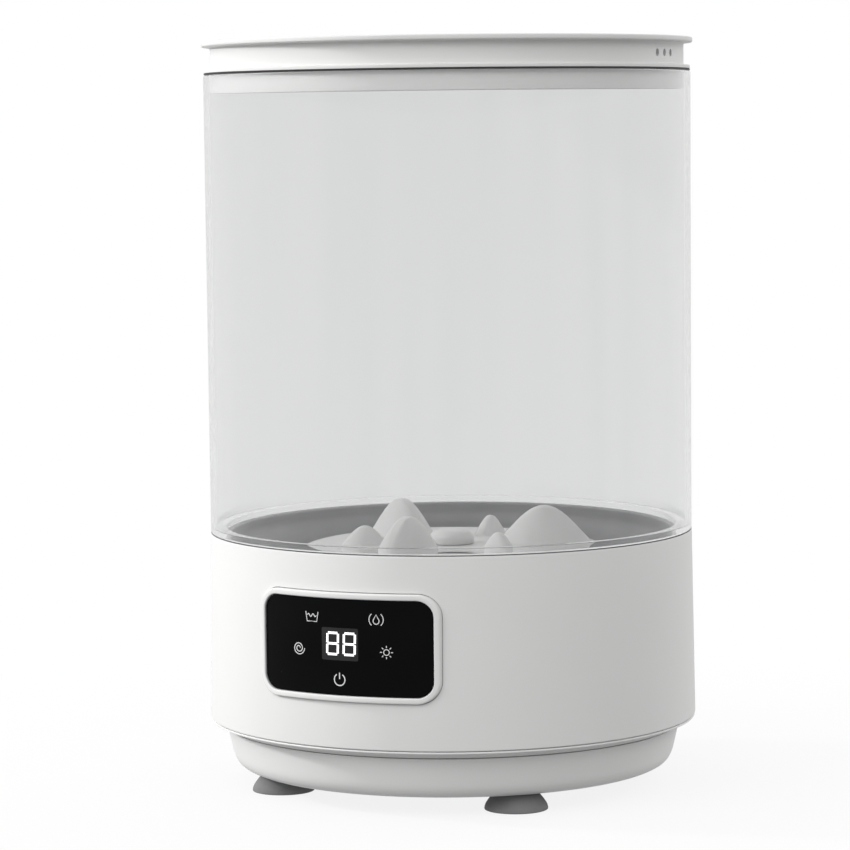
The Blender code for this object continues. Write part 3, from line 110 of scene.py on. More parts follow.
def studio_white():
    """The surround's brightness: white where the camera looks straight at it, a light grey through
    the clear barrel and in reflections, and as a light source brightest a little above the washer."""
    group = bpy.data.node_groups.new("studio_white", "ShaderNodeTree")
    group.interface.new_socket("Strength", in_out="OUTPUT", socket_type="NodeSocketFloat")
    path = add(group, "ShaderNodeLightPath")
    ray = add(group, "ShaderNodeNewGeometry")
    height = add(group, "ShaderNodeSeparateXYZ", {0: ray.outputs["Incoming"]})
    climb = {"Value": height.outputs[2], "From Min": 0.0, "From Max": -BRIGHTEST_AT}
    climb |= {"To Min": HORIZON, "To Max": BRIGHTEST}
    climb = add(group, "ShaderNodeMapRange", climb)
    zenith = {"Value": height.outputs[2], "From Min": -BRIGHTEST_AT, "From Max": -1.0}
    zenith |= {"To Min": BRIGHTEST, "To Max": 0.0}
    zenith = add(group, "ShaderNodeMapRange", zenith)
    light = {0: climb.outputs[0], 1: zenith.outputs[0]}
    light = add(group, "ShaderNodeMath", light, operation="MINIMUM")
    first = {0: path.outputs["Diffuse Depth"], 1: 0.5}
    first = add(group, "ShaderNodeMath", first, operation="LESS_THAN")
    sharp = {0: path.outputs["Is Transmission Ray"], 1: path.outputs["Is Glossy Ray"]}
    sharp = add(group, "ShaderNodeMath", sharp, operation="MAXIMUM")
    clear = {0: sharp.outputs[0], 1: first.outputs[0]}
    clear = add(group, "ShaderNodeMath", clear, operation="MULTIPLY")
    through = {0: clear.outputs[0], 2: light.outputs[0], 3: REFLECTED}
    through = add(group, "ShaderNodeMix", through)
    straight = {0: path.outputs["Is Camera Ray"], 2: through.outputs[0], 3: 1.0}
    straight = add(group, "ShaderNodeMix", straight)
    add(group, "NodeGroupOutput", {0: straight.outputs[0]})
    return group


STUDIO_WHITE = studio_white()
world = bpy.data.worlds.new("studio")
bpy.context.scene.world = world
world.use_nodes = True
tree = world.node_tree
surround = add(tree, "ShaderNodeGroup", node_tree=STUDIO_WHITE)
tree.links.new(surround.outputs[0], tree.nodes["Background"].inputs["Strength"])
tree.nodes["Background"].inputs["Color"].default_value = linear("#FFFFFF")

FLOOR_RADIUS = 45.0
SHADOW_NEAR, SHADOW_FAR = 0.10, 0.45  # the floor's shadow fades out between these distances
bpy.ops.mesh.primitive_circle_add(vertices=96, radius=FLOOR_RADIUS, fill_type="NGON")
floor = bpy.context.object
floor.name = "floor"
# Matt white paper that is lit to the surround's own white a little way from the washer.
paper, tree, shader = plain("matt_white_paper_floor")
shader.inputs["Base Color"].default_value = linear("#D8D8D8")
shader.inputs["Roughness"].default_value = 0.9
shader.inputs["Specular IOR Level"].default_value = 0.1
surround = add(tree, "ShaderNodeGroup", node_tree=STUDIO_WHITE)
glow = add(tree, "ShaderNodeEmission", {"Color": linear("#FFFFFF"), "Strength": surround.outputs[0]})
spot = add(tree, "ShaderNodeTexCoord").outputs["Object"]
reach = add(tree, "ShaderNodeVectorMath", {0: spot}, operation="LENGTH")
far = {"Value": reach.outputs["Value"], "From Min": SHADOW_NEAR, "From Max": SHADOW_FAR}
far |= {"To Min": 0.85, "To Max": 1.0}
share = add(tree, "ShaderNodeMapRange", far)
blend = {0: share.outputs[0], 1: shader.outputs[0], 2: glow.outputs[0]}
lit_paper = add(tree, "ShaderNodeMixShader", blend)
tree.links.new(lit_paper.outputs[0], tree.nodes["Material Output"].inputs["Surface"])
floor.data.materials.append(paper)


def studio_light(name, azimuth, elevation, distance, size, power):
    """An area light that faces the middle of the washer: degrees, metres and watts."""
    middle = Vector((0.0, 0.0, 0.2))
    data = bpy.data.lights.new(name, "AREA")
    data.shape = "RECTANGLE"
    data.size, data.size_y = size
    data.energy = power
    lamp = placed(name, data)
    flat = around(distance * math.cos(math.radians(elevation)), azimuth)
    lamp.location = middle + flat + Vector((0.0, 0.0, distance * math.sin(math.radians(elevation))))
    lamp.visible_glossy = lamp.visible_transmission = False
    lamp.rotation_euler = (middle - lamp.location).to_track_quat("-Z", "Y").to_euler()


studio_light("key_left", CAMERA_AZIMUTH - 100.5, 20, 2.6, (0.22, 0.22), 42.0)
studio_light("fill_front_left", CAMERA_AZIMUTH - 52, 30, 2.6, (1.6, 1.6), 20.0)
studio_light("rim_right", CAMERA_AZIMUTH + 130, 12, 2.2, (0.4, 1.4), 9.0)

# -------- feet
# Four suction feet of dark grey rubber, compression moulded, each pushed by its stem through the
# base pan's floor. They are flared at the foot, with a shallow cup that grips the table.
OUTLINE_STEPS = 5
CLEARANCE = 0.3  # between neighbouring pieces, in millimetres


def rounded(outline):
    """An outline of (radius, z, rounding) points with each corner eased by a short curve."""
    eased = []
    count = len(outline)
    for index, (r, z, ease) in enumerate(outline):
        corner = Vector((r, z))
        before = Vector(outline[index - 1][:2]) - corner
        after = Vector(outline[(index + 1) % count][:2]) - corner
        if not ease:
            eased.append(corner)
            continue
        start = corner + before.normalized() * min(ease, before.length * 0.48)
        end = corner + after.normalized() * min(ease, after.length * 0.48)
        for step in range(OUTLINE_STEPS + 1):
            t = step / OUTLINE_STEPS
            eased.append((1 - t) ** 2 * start + 2 * t * (1 - t) * corner + t * t * end)
    return eased


def finished(name, shape, material, sharp=50):
    """Turns a bmesh into a smooth object with its material."""
    mesh = bpy.data.meshes.new(name)
    shape.to_mesh(mesh)
    shape.free()
    mesh.shade_smooth()
    mesh.set_sharp_from_angle(angle=math.radians(sharp))
    if material:
        mesh.materials.append(material)
    return placed(name, mesh)


def turned(name, outline, material, sides=240, place=None):
    """An outline of (radius, z, rounding) in millimetres turned round Z, as a closed solid."""
    shape = bmesh.new()
    points = rounded(outline)
    ring = [shape.verts.new((p.x * MM, 0.0, p.y * MM)) for p in points]
    edges = [shape.edges.new(pair) for pair in zip(ring, ring[1:])]
    if outline[0][0] > 0 or outline[-1][0] > 0:
        edges.append(shape.edges.new((ring[-1], ring[0])))
    axis = {"cent": (0, 0, 0), "axis": (0, 0, 1), "angle": math.tau}
    bmesh.ops.spin(shape, geom=ring + edges, steps=sides, use_merge=True, **axis)
    bmesh.ops.remove_doubles(shape, verts=shape.verts, dist=0.000002)
    bmesh.ops.recalc_face_normals(shape, faces=shape.faces)
    if place:
        bmesh.ops.transform(shape, matrix=place, verts=shape.verts)
    return finished(name, shape, material)


def fit(piece, body, slot, *nodes):
    """The piece rides on a body and stands for these CAD nodes, which it hides. The slot is not used."""
    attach(piece, body)
    if nodes:
        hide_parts(*nodes)
    return piece


def copies_tree():
    """Copies of a template spaced along an arc, each turned to face outwards."""
    group = bpy.data.node_groups.new("copies_on_an_arc", "GeometryNodeTree")
    kinds = {"Template": "Object", "Finish": "Material", "Count": "Int"}
    kinds |= dict.fromkeys(("Radius", "Level", "First azimuth", "Pitch"), "Float")
    for name, kind in kinds.items():
        group.interface.new_socket(name, in_out="INPUT", socket_type="NodeSocket" + kind)
    group.interface.new_socket("Copies", in_out="OUTPUT", socket_type="NodeSocketGeometry")
    given = add(group, "NodeGroupInput").outputs
    line = add(group, "GeometryNodeMeshLine", {"Count": given["Count"]})
    index = add(group, "GeometryNodeInputIndex")
    step = add(group, "ShaderNodeMath", {0: index.outputs[0], 1: given["Pitch"]}, operation="MULTIPLY")
    turn = add(group, "ShaderNodeMath", {0: step.outputs[0], 1: given["First azimuth"]}, operation="ADD")
    sine = add(group, "ShaderNodeMath", {0: turn.outputs[0]}, operation="SINE")
    cosine = add(group, "ShaderNodeMath", {0: turn.outputs[0]}, operation="COSINE")
    x = add(group, "ShaderNodeMath", {0: sine.outputs[0], 1: given["Radius"]}, operation="MULTIPLY")
    back = add(group, "ShaderNodeMath", {0: given["Radius"], 1: -1.0}, operation="MULTIPLY")
    y = add(group, "ShaderNodeMath", {0: cosine.outputs[0], 1: back.outputs[0]}, operation="MULTIPLY")
    place = add(group, "ShaderNodeCombineXYZ", {0: x.outputs[0], 1: y.outputs[0], 2: given["Level"]})
    face = add(group, "ShaderNodeCombineXYZ", {2: turn.outputs[0]})
    heading = add(group, "FunctionNodeEulerToRotation", {0: face.outputs[0]})
    points = {"Geometry": line.outputs[0], "Position": place.outputs[0]}
    points = add(group, "GeometryNodeSetPosition", points)
    template = add(group, "GeometryNodeObjectInfo", {"Object": given["Template"]})
    copies = {"Points": points.outputs[0], "Instance": template.outputs["Geometry"]}
    copies["Rotation"] = heading.outputs[0]
    copies = add(group, "GeometryNodeInstanceOnPoints", copies)
    real = add(group, "GeometryNodeRealizeInstances", {"Geometry": copies.outputs[0]})
    painted = {"Geometry": real.outputs[0], "Material": given["Finish"]}
    painted = add(group, "GeometryNodeSetMaterial", painted)
    add(group, "NodeGroupOutput", {"Copies": painted.outputs[0]})
    return group


COPIES = copies_tree()


def copies(name, template, finish, count, radius, level, first, pitch):
    """A plain mesh of copies of the template on an arc; angles in degrees. The template goes."""
    holder = placed(name, bpy.data.meshes.new(name))
    modifier = holder.modifiers.new("copies", "NODES")
    modifier.node_group = COPIES
    values = {"Template": template, "Finish": finish, "Count": count, "Radius": radius}
    values |= {"Level": level, "First azimuth": math.radians(first), "Pitch": math.radians(pitch)}
    for item in COPIES.interface.items_tree:
        if item.in_out == "INPUT":
            modifier[item.identifier] = values[item.name]
    bpy.context.view_layer.update()
    graph = bpy.context.evaluated_depsgraph_get()
    mesh = bpy.data.meshes.new_from_object(holder.evaluated_get(graph))
    bpy.data.objects.remove(holder)
    bpy.data.objects.remove(template)
    return placed(name, mesh)


def surface(name, dark, pale, patch, rough, grain=0.0, depth=0.0, metallic=0.0):
    """A material: blotches this many millimetres across between two colours and two roughnesses,
    with a finer grain, as a bump of this depth in millimetres."""
    material, tree, shader = plain(name)
    spot = add(tree, "ShaderNodeTexCoord").outputs["Object"]
    cloud = {"Vector": spot, "Scale": 1 / (patch * MM), "Detail": 4.0}
    cloud = add(tree, "ShaderNodeTexNoise", cloud)
    tone = {0: cloud.outputs["Fac"], 6: linear(dark), 7: linear(pale)}
    tone = add(tree, "ShaderNodeMix", tone, data_type="RGBA")
    dull = {"Value": cloud.outputs["Fac"], "To Min": rough[0], "To Max": rough[1]}
    dull = add(tree, "ShaderNodeMapRange", dull)
    tree.links.new(tone.outputs[2], shader.inputs["Base Color"])
    tree.links.new(dull.outputs[0], shader.inputs["Roughness"])
    shader.inputs["Metallic"].default_value = metallic
    if grain:
        fine = {"Vector": spot, "Scale": 1 / (grain * MM), "Detail": 2.0}
        fine = add(tree, "ShaderNodeTexNoise", fine)
        relief = {"Height": fine.outputs["Fac"], "Strength": 0.2, "Distance": depth * MM}
        bump = add(tree, "ShaderNodeBump", relief)
        tree.links.new(bump.outputs[0], shader.inputs["Normal"])
    return material


# Moulded nitrile rubber: matt, a little paler where it has bloomed, with a sandblasted grain.
rubber = surface("moulded_nitrile_rubber", "#6A6A6B", "#848485", 9, (0.55, 0.72), 0.5, 0.05)


def bolt_circle(box):
    """How far from the barrel's axis the middle of this box stands."""
    low, high = box
    return math.hypot(high.x + low.x, high.y + low.y) / 2


foot_low, foot_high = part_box("foot_front_right")
pan_low, pan_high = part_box("base_pan")
FACETS = math.cos(math.pi / 40)  # the CAD's forty-sided rounds stop this far short of true round
foot_radius = (foot_high.x - foot_low.x) / 2 / math.cos(math.pi / 16) / MM
foot_circle = bolt_circle((foot_low, foot_high))
foot_top = pan_low.z / MM - CLEARANCE
foot_cup = 1.2
foot = turned(
    "foot_template",
    [
        (0.0, foot_top, 0),
        (foot_radius * 0.66, foot_top, 0.8),
        (foot_radius * 0.80, foot_top * 0.74, 3.0),
        (foot_radius * 0.96, foot_top * 0.34, 3.0),
        (foot_radius, foot_top * 0.12, 1.0),
        (foot_radius, 0.0, 0.5),
        (foot_radius * 0.57, 0.0, 0.5),
        (foot_radius * 0.45, foot_cup, 0.5),
        (0.0, foot_cup, 0),
    ],
    rubber,
    sides=72,
)
feet = copies("suction_feet", foot, rubber, 4, foot_circle, 0.0, 45, 90)
corners = ("foot_front_right", "foot_rear_right", "foot_rear_left", "foot_front_left")
fit(feet, "base", "dark_rubber", *corners)

# -------- base pan
# The tapered bottom cover, injection moulded in white ABS with a fine satin texture. Four screws
# go up through its floor into the housing, and its spigot plugs the trim ring.
# Spark-eroded satin ABS: a soft sheen with a grain of about 0.4 mm and faint flow variation.
abs_white = surface("moulded_white_abs", "#DADAD9", "#E1E1E0", 70, (0.36, 0.44), 0.4, 0.02)

trim_low, trim_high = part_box("trim_ring")
pan_radius = pan_high.x / FACETS / MM
pan_bottom = pan_low.z / MM
shoulder = trim_low.z / MM - CLEARANCE
pan_taper, pan_corner, pan_wall = 3.6, 5.8, 2.5
lower = pan_radius - pan_taper
base_pan = turned(
    "base_pan_shell",
    [
        (0.0, pan_bottom + pan_wall, 0),
        (lower - pan_corner * 1.85, pan_bottom + pan_wall, 2.0),
        (lower - pan_wall, pan_bottom + pan_corner, 2.0),
        (pan_radius - pan_wall - 1.2, shoulder, 0.3),
        (pan_radius, shoulder, 0.5),
        (lower, pan_bottom + pan_corner, 3.4),
        (lower - pan_corner * 0.42, pan_bottom + pan_corner * 0.40, 1.6),
        (lower - pan_corner * 1.05, pan_bottom + pan_corner * 0.07, 2.2),
        (lower - pan_corner * 1.75, pan_bottom, 2.0),
        (0.0, pan_bottom, 0),
    ],
    abs_white,
)


def bored(piece, cutter, operation="DIFFERENCE"):
    """Applies a Boolean to the piece, and removes the cutter."""
    modifier = piece.modifiers.new("cut", "BOOLEAN")
    modifier.operation = operation
    modifier.object = cutter
    bpy.context.view_layer.update()
    graph = bpy.context.evaluated_depsgraph_get()
    mesh = bpy.data.meshes.new_from_object(piece.evaluated_get(graph))
    piece.modifiers.clear()
    piece.data = mesh
    mesh.shade_smooth()
    mesh.set_sharp_from_angle(angle=math.radians(40))
    bpy.data.objects.remove(cutter)
    return piece


def rod(name, radius, top, bottom, sides=24, place=None):
    """A plain cylinder to cut with, in millimetres."""
    outline = [(0, top, 0), (radius, top, 0), (radius, bottom, 0), (0, bottom, 0)]
    return turned(name, outline, None, sides, place)


screw_low, screw_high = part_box("case_screw_2")
screw_circle = (screw_low.x + screw_high.x) / 2
pan_hole = rod("hole", 2.1, pan_bottom + 5, pan_bottom - 3)
holes = copies("pan_holes", pan_hole, None, 4, screw_circle, 0.0, 0, 90)
bored(base_pan, holes)
fit(base_pan, "base", "white_abs", "base_pan")

# -------- case screws
# Pan head self-tapping screws of zinc plated steel, cold headed, with a cross recess. They hold
# the base pan to the housing's four bosses.
# Bright zinc plate: pale, clouded by the barrel plating, moderately sharp reflections.
zinc = surface("bright_zinc_plate", "#A9AAA8", "#C6C7C4", 1.5, (0.24, 0.40), metallic=1.0)


def screw_template(shank, head, height, length):
    """A pan head screw along Z, head down, with a cross cut into it; sizes in millimetres."""
    outline = [
        (0.0, length, 0),
        (shank * 0.4, length, 0.2),
        (shank, length - shank, 0.2),
        (shank, 0.0, 0),
        (head, 0.0, 0.1),
        (head, -height * 0.45, height * 0.3),
        (head * 0.72, -height, height * 0.3),
        (0.0, -height, 0),
    ]
    screw = turned("screw", outline, zinc, sides=32)
    for turn in (45, 135):
        bpy.ops.mesh.primitive_cube_add(size=1.0)
        bar = bpy.context.object
        size = Matrix.Diagonal((head * 1.1 * MM, head * 0.24 * MM, height * 1.2 * MM, 1.0))
        turned_bar = Matrix.Rotation(math.radians(turn), 4, "Z")
        bar.data.transform(Matrix.Translation((0, 0, -height * MM)) @ turned_bar @ size)
        bored(screw, bar)
    return screw


case_head = 2.0
case_seat = screw_low.z + case_head * MM
case_screw = screw_template(1.8, 3.3, case_head, 18.0)
case_screws = copies("case_screws", case_screw, zinc, 4, screw_circle, case_seat, 0, 90)
fit(case_screws, "base", "zinc_steel", *[f"case_screw_{n}" for n in (1, 2, 3, 4)])

# -------- trim ring
# A sloping ring of the same white ABS between base pan and housing. It hides the joint where the
# pan's spigot goes up inside the housing, and leaves a thin shadow line above and below.
trim_radius = trim_high.x / FACETS / MM
trim_top = trim_high.z / MM
trim_inner = pan_radius - 2.9
trim = turned(
    "trim_ring_moulding",
    [
        (trim_inner, trim_top, 0.2),
        (trim_radius - 0.4, trim_top, 0.3),
        (trim_radius, trim_top - 0.9, 0.6),
        (pan_radius, shoulder + 0.35, 0.5),
        (trim_inner, shoulder + CLEARANCE, 0.2),
    ],
    abs_white,
)
fit(trim, "base", "white_abs", "trim_ring")

# -------- housing
# The white drive housing, injection moulded in satin ABS. A window in front takes the touch panel,
# two wells at the rear take the power jack and the drain, and its top edge carries the barrel.
housing_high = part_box("housing")[1]
tub_low, tub_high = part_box("tub")
bowl_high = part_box("wash_bowl")[1]
seal_low, seal_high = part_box("tub_seal")
wall = 2.7
housing_top = housing_high.z / MM
housing_bottom = trim_top + CLEARANCE
bottom_radius = housing_high.x / FACETS / MM
top_radius = tub_high.x / FACETS / MM - 0.4
trough_outer = seal_high.x / FACETS / MM + CLEARANCE
trough_inner = bowl_high.x / FACETS / MM + 0.1
trough_floor = seal_low.z / MM - CLEARANCE
rib_inner = trough_inner - 2.3
rib_top = housing_top - 0.9
housing = turned(
    "housing_shell",
    [
        (rib_inner, rib_top, 0.3),
        (trough_inner, rib_top, 0.3),
        (trough_inner, trough_floor, 0),
        (trough_outer, trough_floor, 0),
        (trough_outer, housing_top, 0.2),
        (top_radius, housing_top, 0.9),
        (bottom_radius, housing_bottom, 0.7),
        (bottom_radius - wall, housing_bottom, 0.3),
        (top_radius - wall, trough_floor - 2.0, 0.5),
        (rib_inner, trough_floor - 2.0, 0),
    ],
    abs_white,
    sides=360,
)
frame_low, frame_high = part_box("panel_frame")
panel_middle = (frame_low.z + frame_high.z) / 2
panel_width = frame_high.x - frame_low.x
panel_height = frame_high.z - frame_low.z
panel_corner = 11.2 * MM
panel_face = -frame_low.y


def rounded_rectangle(width, height, corner, steps=10):
    """Points and outward directions round a rectangle with round corners, centred on 0, 0."""
    turns = []
    for quarter in range(4):
        across = (width / 2 - corner) * (1 if quarter in (0, 3) else -1)
        up = (height / 2 - corner) * (1 if quarter in (0, 1) else -1)
        for step in range(steps + 1):
            turn = math.radians(90 * (quarter + step / steps))
            way = Vector((math.cos(turn), math.sin(turn)))
            turns.append((Vector((across, up)) + corner * way, way))
    points = []
    for (point, way), (following, _) in zip(turns, turns[1:] + turns[:1]):
        parts = max(1, round((following - point).length / (2 * MM)))
        points += [(point.lerp(following, part / parts), way) for part in range(parts)]
    return points


window = bmesh.new()
gap = CLEARANCE * MM
opening = rounded_rectangle(panel_width + 2 * gap, panel_height + 2 * gap, panel_corner + gap)
ring = [window.verts.new((p.x, -0.15, panel_middle + p.y)) for p, _ in opening]
pulled = bmesh.ops.extrude_face_region(window, geom=[window.faces.new(ring)])["geom"]
pulled = [v for v in pulled if isinstance(v, bmesh.types.BMVert)]
bmesh.ops.translate(window, vec=(0, 0.06, 0), verts=pulled)
bmesh.ops.recalc_face_normals(window, faces=window.faces)
bored(housing, finished("window", window, None))

jack_low, jack_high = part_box("power_jack")
rear_x = (jack_low.x + jack_high.x) / 2
rear_z = (jack_low.z + jack_high.z) / 2
rear_face = jack_high.y - 1.7 * MM
well_radius, jack_hole, spout_hole = 10.5, 6.0, 7.3
pad_half, pad_deep, pad_in = 14.0, 16.0, 9.3


def to_rear(x, y):
    """Turns what was made about Z so that its +Z points to the rear, at a rear well."""
    return Matrix.Translation((x, y, rear_z)) @ Matrix.Rotation(-math.pi / 2, 4, "X")


for side, hole_radius in ((1, jack_hole), (-1, spout_hole)):
    bpy.ops.mesh.primitive_cube_add(size=1.0)
    pad = bpy.context.object
    pad.data.transform(
        Matrix.Translation((side * rear_x, rear_face + (pad_deep / 2 - pad_in) * MM, rear_z))
        @ Matrix.Diagonal((2 * pad_half * MM, pad_deep * MM, 2 * pad_half * MM, 1.0))
    )
    bored(pad, rod("limit", top_radius - wall / 2, 120, 20, 96), "INTERSECT")
    bored(housing, pad, "UNION")
    for radius, deep in ((well_radius, 0.0), (hole_radius, -30.0)):
        bored(housing, rod("well", radius, 30, deep, 64, to_rear(side * rear_x, rear_face)))
housing.data.materials.clear()
housing.data.materials.append(abs_white)
fit(housing, "base", "white_abs", "housing")

# -------- panel frame
# A gloss white ABS bezel that stands 2 mm proud of the housing and follows its curve. It is
# moulded in one piece and snaps into the window from the front.
# Gloss ABS from a polished mould: the same white, with a sharp skin and hardly any grain.
abs_gloss = surface("polished_white_abs", "#DCDCDB", "#E2E2E1", 50, (0.14, 0.20))


def on_barrel(x, up, radius):
    """The point of an upright cylinder that lies at x, this far above the panel's middle."""
    return Vector((x, -math.sqrt(radius * radius - x * x), panel_middle + up))


border = 3.0 * MM
section = rounded(
    [
        (0.0, -5.2, 0),
        (0.0, 0.0, 1.1),
        (3.0, 0.0, 0.9),
        (3.0, -3.5, 0),
        (5.0, -3.5, 0),
        (5.0, -5.2, 0),
    ]
)
shape = bmesh.new()
rows = []
for point, way in rounded_rectangle(panel_width, panel_height, panel_corner, 12):
    row = []
    for step in section:
        at = point - way * step.x * MM
        row.append(shape.verts.new(on_barrel(at.x, at.y, panel_face + step.y * MM)))
    rows.append(row)
for first, second in zip(rows, rows[1:] + rows[:1]):
    for a, b, c, d in zip(first, first[1:] + first[:1], second[1:] + second[:1], second):
        shape.faces.new((a, b, c, d))
bmesh.ops.recalc_face_normals(shape, faces=shape.faces)
bezel = finished("panel_bezel", shape, abs_gloss, 40)
fit(bezel, "base", "white_abs", "panel_frame")

# -------- panel glass
# A curved cover of black tinted acrylic, 2 mm thick with a polished edge, bonded into the bezel.
# The display shows through a lighter smoked patch in its middle.
# Black acrylic: almost no colour of its own under a glossy skin with faint smears.
black_glass = surface("black_tinted_acrylic", "#050505", "#0B0B0C", 30, (0.10, 0.22))
black_glass.node_tree.nodes["Principled BSDF"].inputs["Specular IOR Level"].default_value = 0.05

glass_low, glass_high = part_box("panel_glass")
glass_face = -glass_low.y
glass_width = glass_high.x - glass_low.x
glass_height = glass_high.z - glass_low.z
glass_thickness = 2.0 * MM


def curved_plate(name, points, near, far, material):
    """A flat outline of the panel, wrapped round the barrel between two radii in metres."""
    column = 2.0 * MM
    shape = bmesh.new()
    shape.faces.new([shape.verts.new((p.x, 0.0, p.y)) for p in points])
    left, right = min(p.x for p in points), max(p.x for p in points)
    for step in range(1, math.ceil((right - left) / column)):
        every = shape.verts[:] + shape.edges[:] + shape.faces[:]
        at = (left + step * column, 0, 0)
        bmesh.ops.bisect_plane(shape, geom=every, plane_co=at, plane_no=(1, 0, 0))
    pulled = bmesh.ops.extrude_face_region(shape, geom=shape.faces[:])["geom"]
    front = {v for v in pulled if isinstance(v, bmesh.types.BMVert)}
    for vert in shape.verts:
        vert.co = on_barrel(vert.co.x, vert.co.z, far if vert in front else near)
    bmesh.ops.recalc_face_normals(shape, faces=shape.faces)
    return finished(name, shape, material, 30)


outline = [p for p, _ in rounded_rectangle(glass_width, glass_height, panel_corner - border, 12)]
glass_back = glass_face - glass_thickness
glass = curved_plate("panel_cover", outline, glass_back, glass_face, black_glass)
fit(glass, "base", "black_glass", "panel_glass")

# -------- panel marks
# A smoked patch, two lit seven-segment digits and five printed touch symbols. The patch and the
# symbols are screen printed on the acrylic; the digits belong to the LED module behind it.
# Translucent grey ink: slightly paler than the acrylic, and duller.
smoke = surface("smoked_window_ink", "#262627", "#343435", 6, (0.35, 0.45))
smoke.node_tree.nodes["Principled BSDF"].inputs["Specular IOR Level"].default_value = 0.1

# White ceramic ink: matt, uneven at the scale of its 0.3 mm screen, with a faint painted glow of its own.
# A lit LED segment is an even white that falls off a little across its diffuser.
def glowing(name, dark, pale, patch, strength):
    """A surface that also gives off its own colour."""
    material = surface(name, dark, pale, patch, (0.5, 0.6))
    tree = material.node_tree
    shader = tree.nodes["Principled BSDF"]
    tree.links.new(shader.inputs["Base Color"].links[0].from_socket, shader.inputs["Emission Color"])
    shader.inputs["Emission Strength"].default_value = strength
    return material


# The symbols' emission is painted light: printed ink gives off no light.
white_ink_painted_glow = glowing("white_screen_ink_painted_glow", "#B4B4B4", "#D8D8D8", 0.3, 0.25)
lit = glowing("lit_led_segment", "#F2F2F2", "#FFFFFF", 3, 0.75)


def stroke(shape, points, width, radius, lift=0.03, closed=False):
    """Adds a line of ink to a bmesh: points of the panel in millimetres, at this radius in metres."""
    path = [Vector(p) for p in points]
    count = len(path)
    rows = []
    for index, point in enumerate(path):
        before = path[index - 1] if index or closed else None
        after = path[(index + 1) % count] if index < count - 1 or closed else None
        ahead = ((after or point) - (before or point)).normalized()
        side = Vector((-ahead.y, ahead.x)) * width / 2
        row = []
        for sign, rise in ((1, 0.0), (1, lift), (-1, lift), (-1, 0.0)):
            at = (point + side * sign) * MM
            row.append(shape.verts.new(on_barrel(at.x, at.y, radius + rise * MM)))
        rows.append(row)
    pairs = list(zip(rows, rows[1:])) + ([(rows[-1], rows[0])] if closed else [])
    for first, second in pairs:
        for side in range(4):
            a, b = side, (side + 1) % 4
            shape.faces.new((first[a], first[b], second[b], second[a]))
    if not closed:
        shape.faces.new(rows[0])
        shape.faces.new(list(reversed(rows[-1])))


def arc(centre, radius, start, end, steps=24):
    """Points of an arc in panel millimetres; angles in degrees from +X, counter-clockwise."""
    turns = [math.radians(start + (end - start) * n / steps) for n in range(steps + 1)]
    return [(centre[0] + radius * math.cos(t), centre[1] + radius * math.sin(t)) for t in turns]


display_middle = Vector((-0.9, 1.45)) * MM
display_width, display_height, display_corner = 19.8 * MM, 15.9 * MM, 0.8 * MM
ink = 0.02 * MM
outline = rounded_rectangle(display_width, display_height, display_corner, 4)
outline = [p + display_middle for p, _ in outline]
patch = curved_plate("display_patch", outline, glass_face, glass_face + ink, smoke)
fit(patch, "base", "black_glass")

shape = bmesh.new()
digit_middle = 1.65
digit_width, digit_height, slant = 5.9, 10.4, 0.03
bar_width, bar_end, bar_taper = 1.15, 0.34, 1.1
for left in (-7.7, 1.4):
    right, half = left + digit_width, digit_height / 2
    corners = {
        side + level: Vector((x + slant * y, digit_middle + y))
        for side, x in (("left", left), ("right", right))
        for level, y in ((" low", -half), (" mid", 0.0), (" top", half))
    }
    across = [(corners["left" + level], corners["right" + level]) for level in (" top", " mid", " low")]
    up = [
        (corners[side + low], corners[side + high])
        for side in ("left", "right")
        for low, high in ((" low", " mid"), (" mid", " top"))
    ]
    for start, end in across + up:
        along = (end - start).normalized()
        near = (start + along * bar_end, start + along * bar_taper)
        far = (end - along * bar_taper, end - along * bar_end)
        stroke(shape, (*near, *far), bar_width, glass_face, 0.05)
bmesh.ops.recalc_face_normals(shape, faces=shape.faces)
fit(finished("display_digits", shape, lit), "base", "black_glass")

shape = bmesh.new()
line, bold = 0.42, 0.55
# wash: a tub with a wave in it
x, y = -16.4, 14.2
basin = ((x - 3.6, y + 2.4), (x - 2.8, y - 2.4), (x + 2.8, y - 2.4), (x + 3.6, y + 2.4))
stroke(shape, basin, line, glass_face)
wave = [(x - 2.6 + 5.2 * n / 24, y + 0.6 + 0.7 * math.sin(n / 24 * 4 * math.pi)) for n in range(25)]
stroke(shape, wave, line, glass_face)
# rinse: a drop between two brackets
x, y = 18.4, 14.2
drop = arc((x, y - 0.7), 1.5, 150, 390, 20) + [(x, y + 2.4)]
stroke(shape, drop, line, glass_face, closed=True)
stroke(shape, arc((x, y), 3.6, 130, 230), line, glass_face)
stroke(shape, arc((x, y), 3.6, -50, 50), line, glass_face)
# spin dry: a spiral
x, y = -24.4, -1.8
spiral = []
for n in range(49):
    reach, turn = 0.7 + 2.7 * n / 48, n / 48 * 4 * math.pi
    spiral.append((x + reach * math.cos(turn), y + reach * math.sin(turn)))
stroke(shape, spiral, line, glass_face)
# lamp: a small sun
x, y = 23.4, -1.6
stroke(shape, arc((x, y), 1.4, 0, 345), line, glass_face, closed=True)
for n in range(8):
    turn = n * math.pi / 4
    way = Vector((math.cos(turn), math.sin(turn)))
    stroke(shape, (Vector((x, y)) + way * 2.2, Vector((x, y)) + way * 3.2), line, glass_face)
# power: a broken circle with a bar
x, y = -1.1, -15.9
stroke(shape, arc((x, y), 2.9, 122, 418), bold, glass_face)
stroke(shape, ((x, y + 0.3), (x, y + 3.4)), bold, glass_face)
bmesh.ops.recalc_face_normals(shape, faces=shape.faces)
fit(finished("touch_symbols", shape, white_ink_painted_glow), "base", "black_glass")

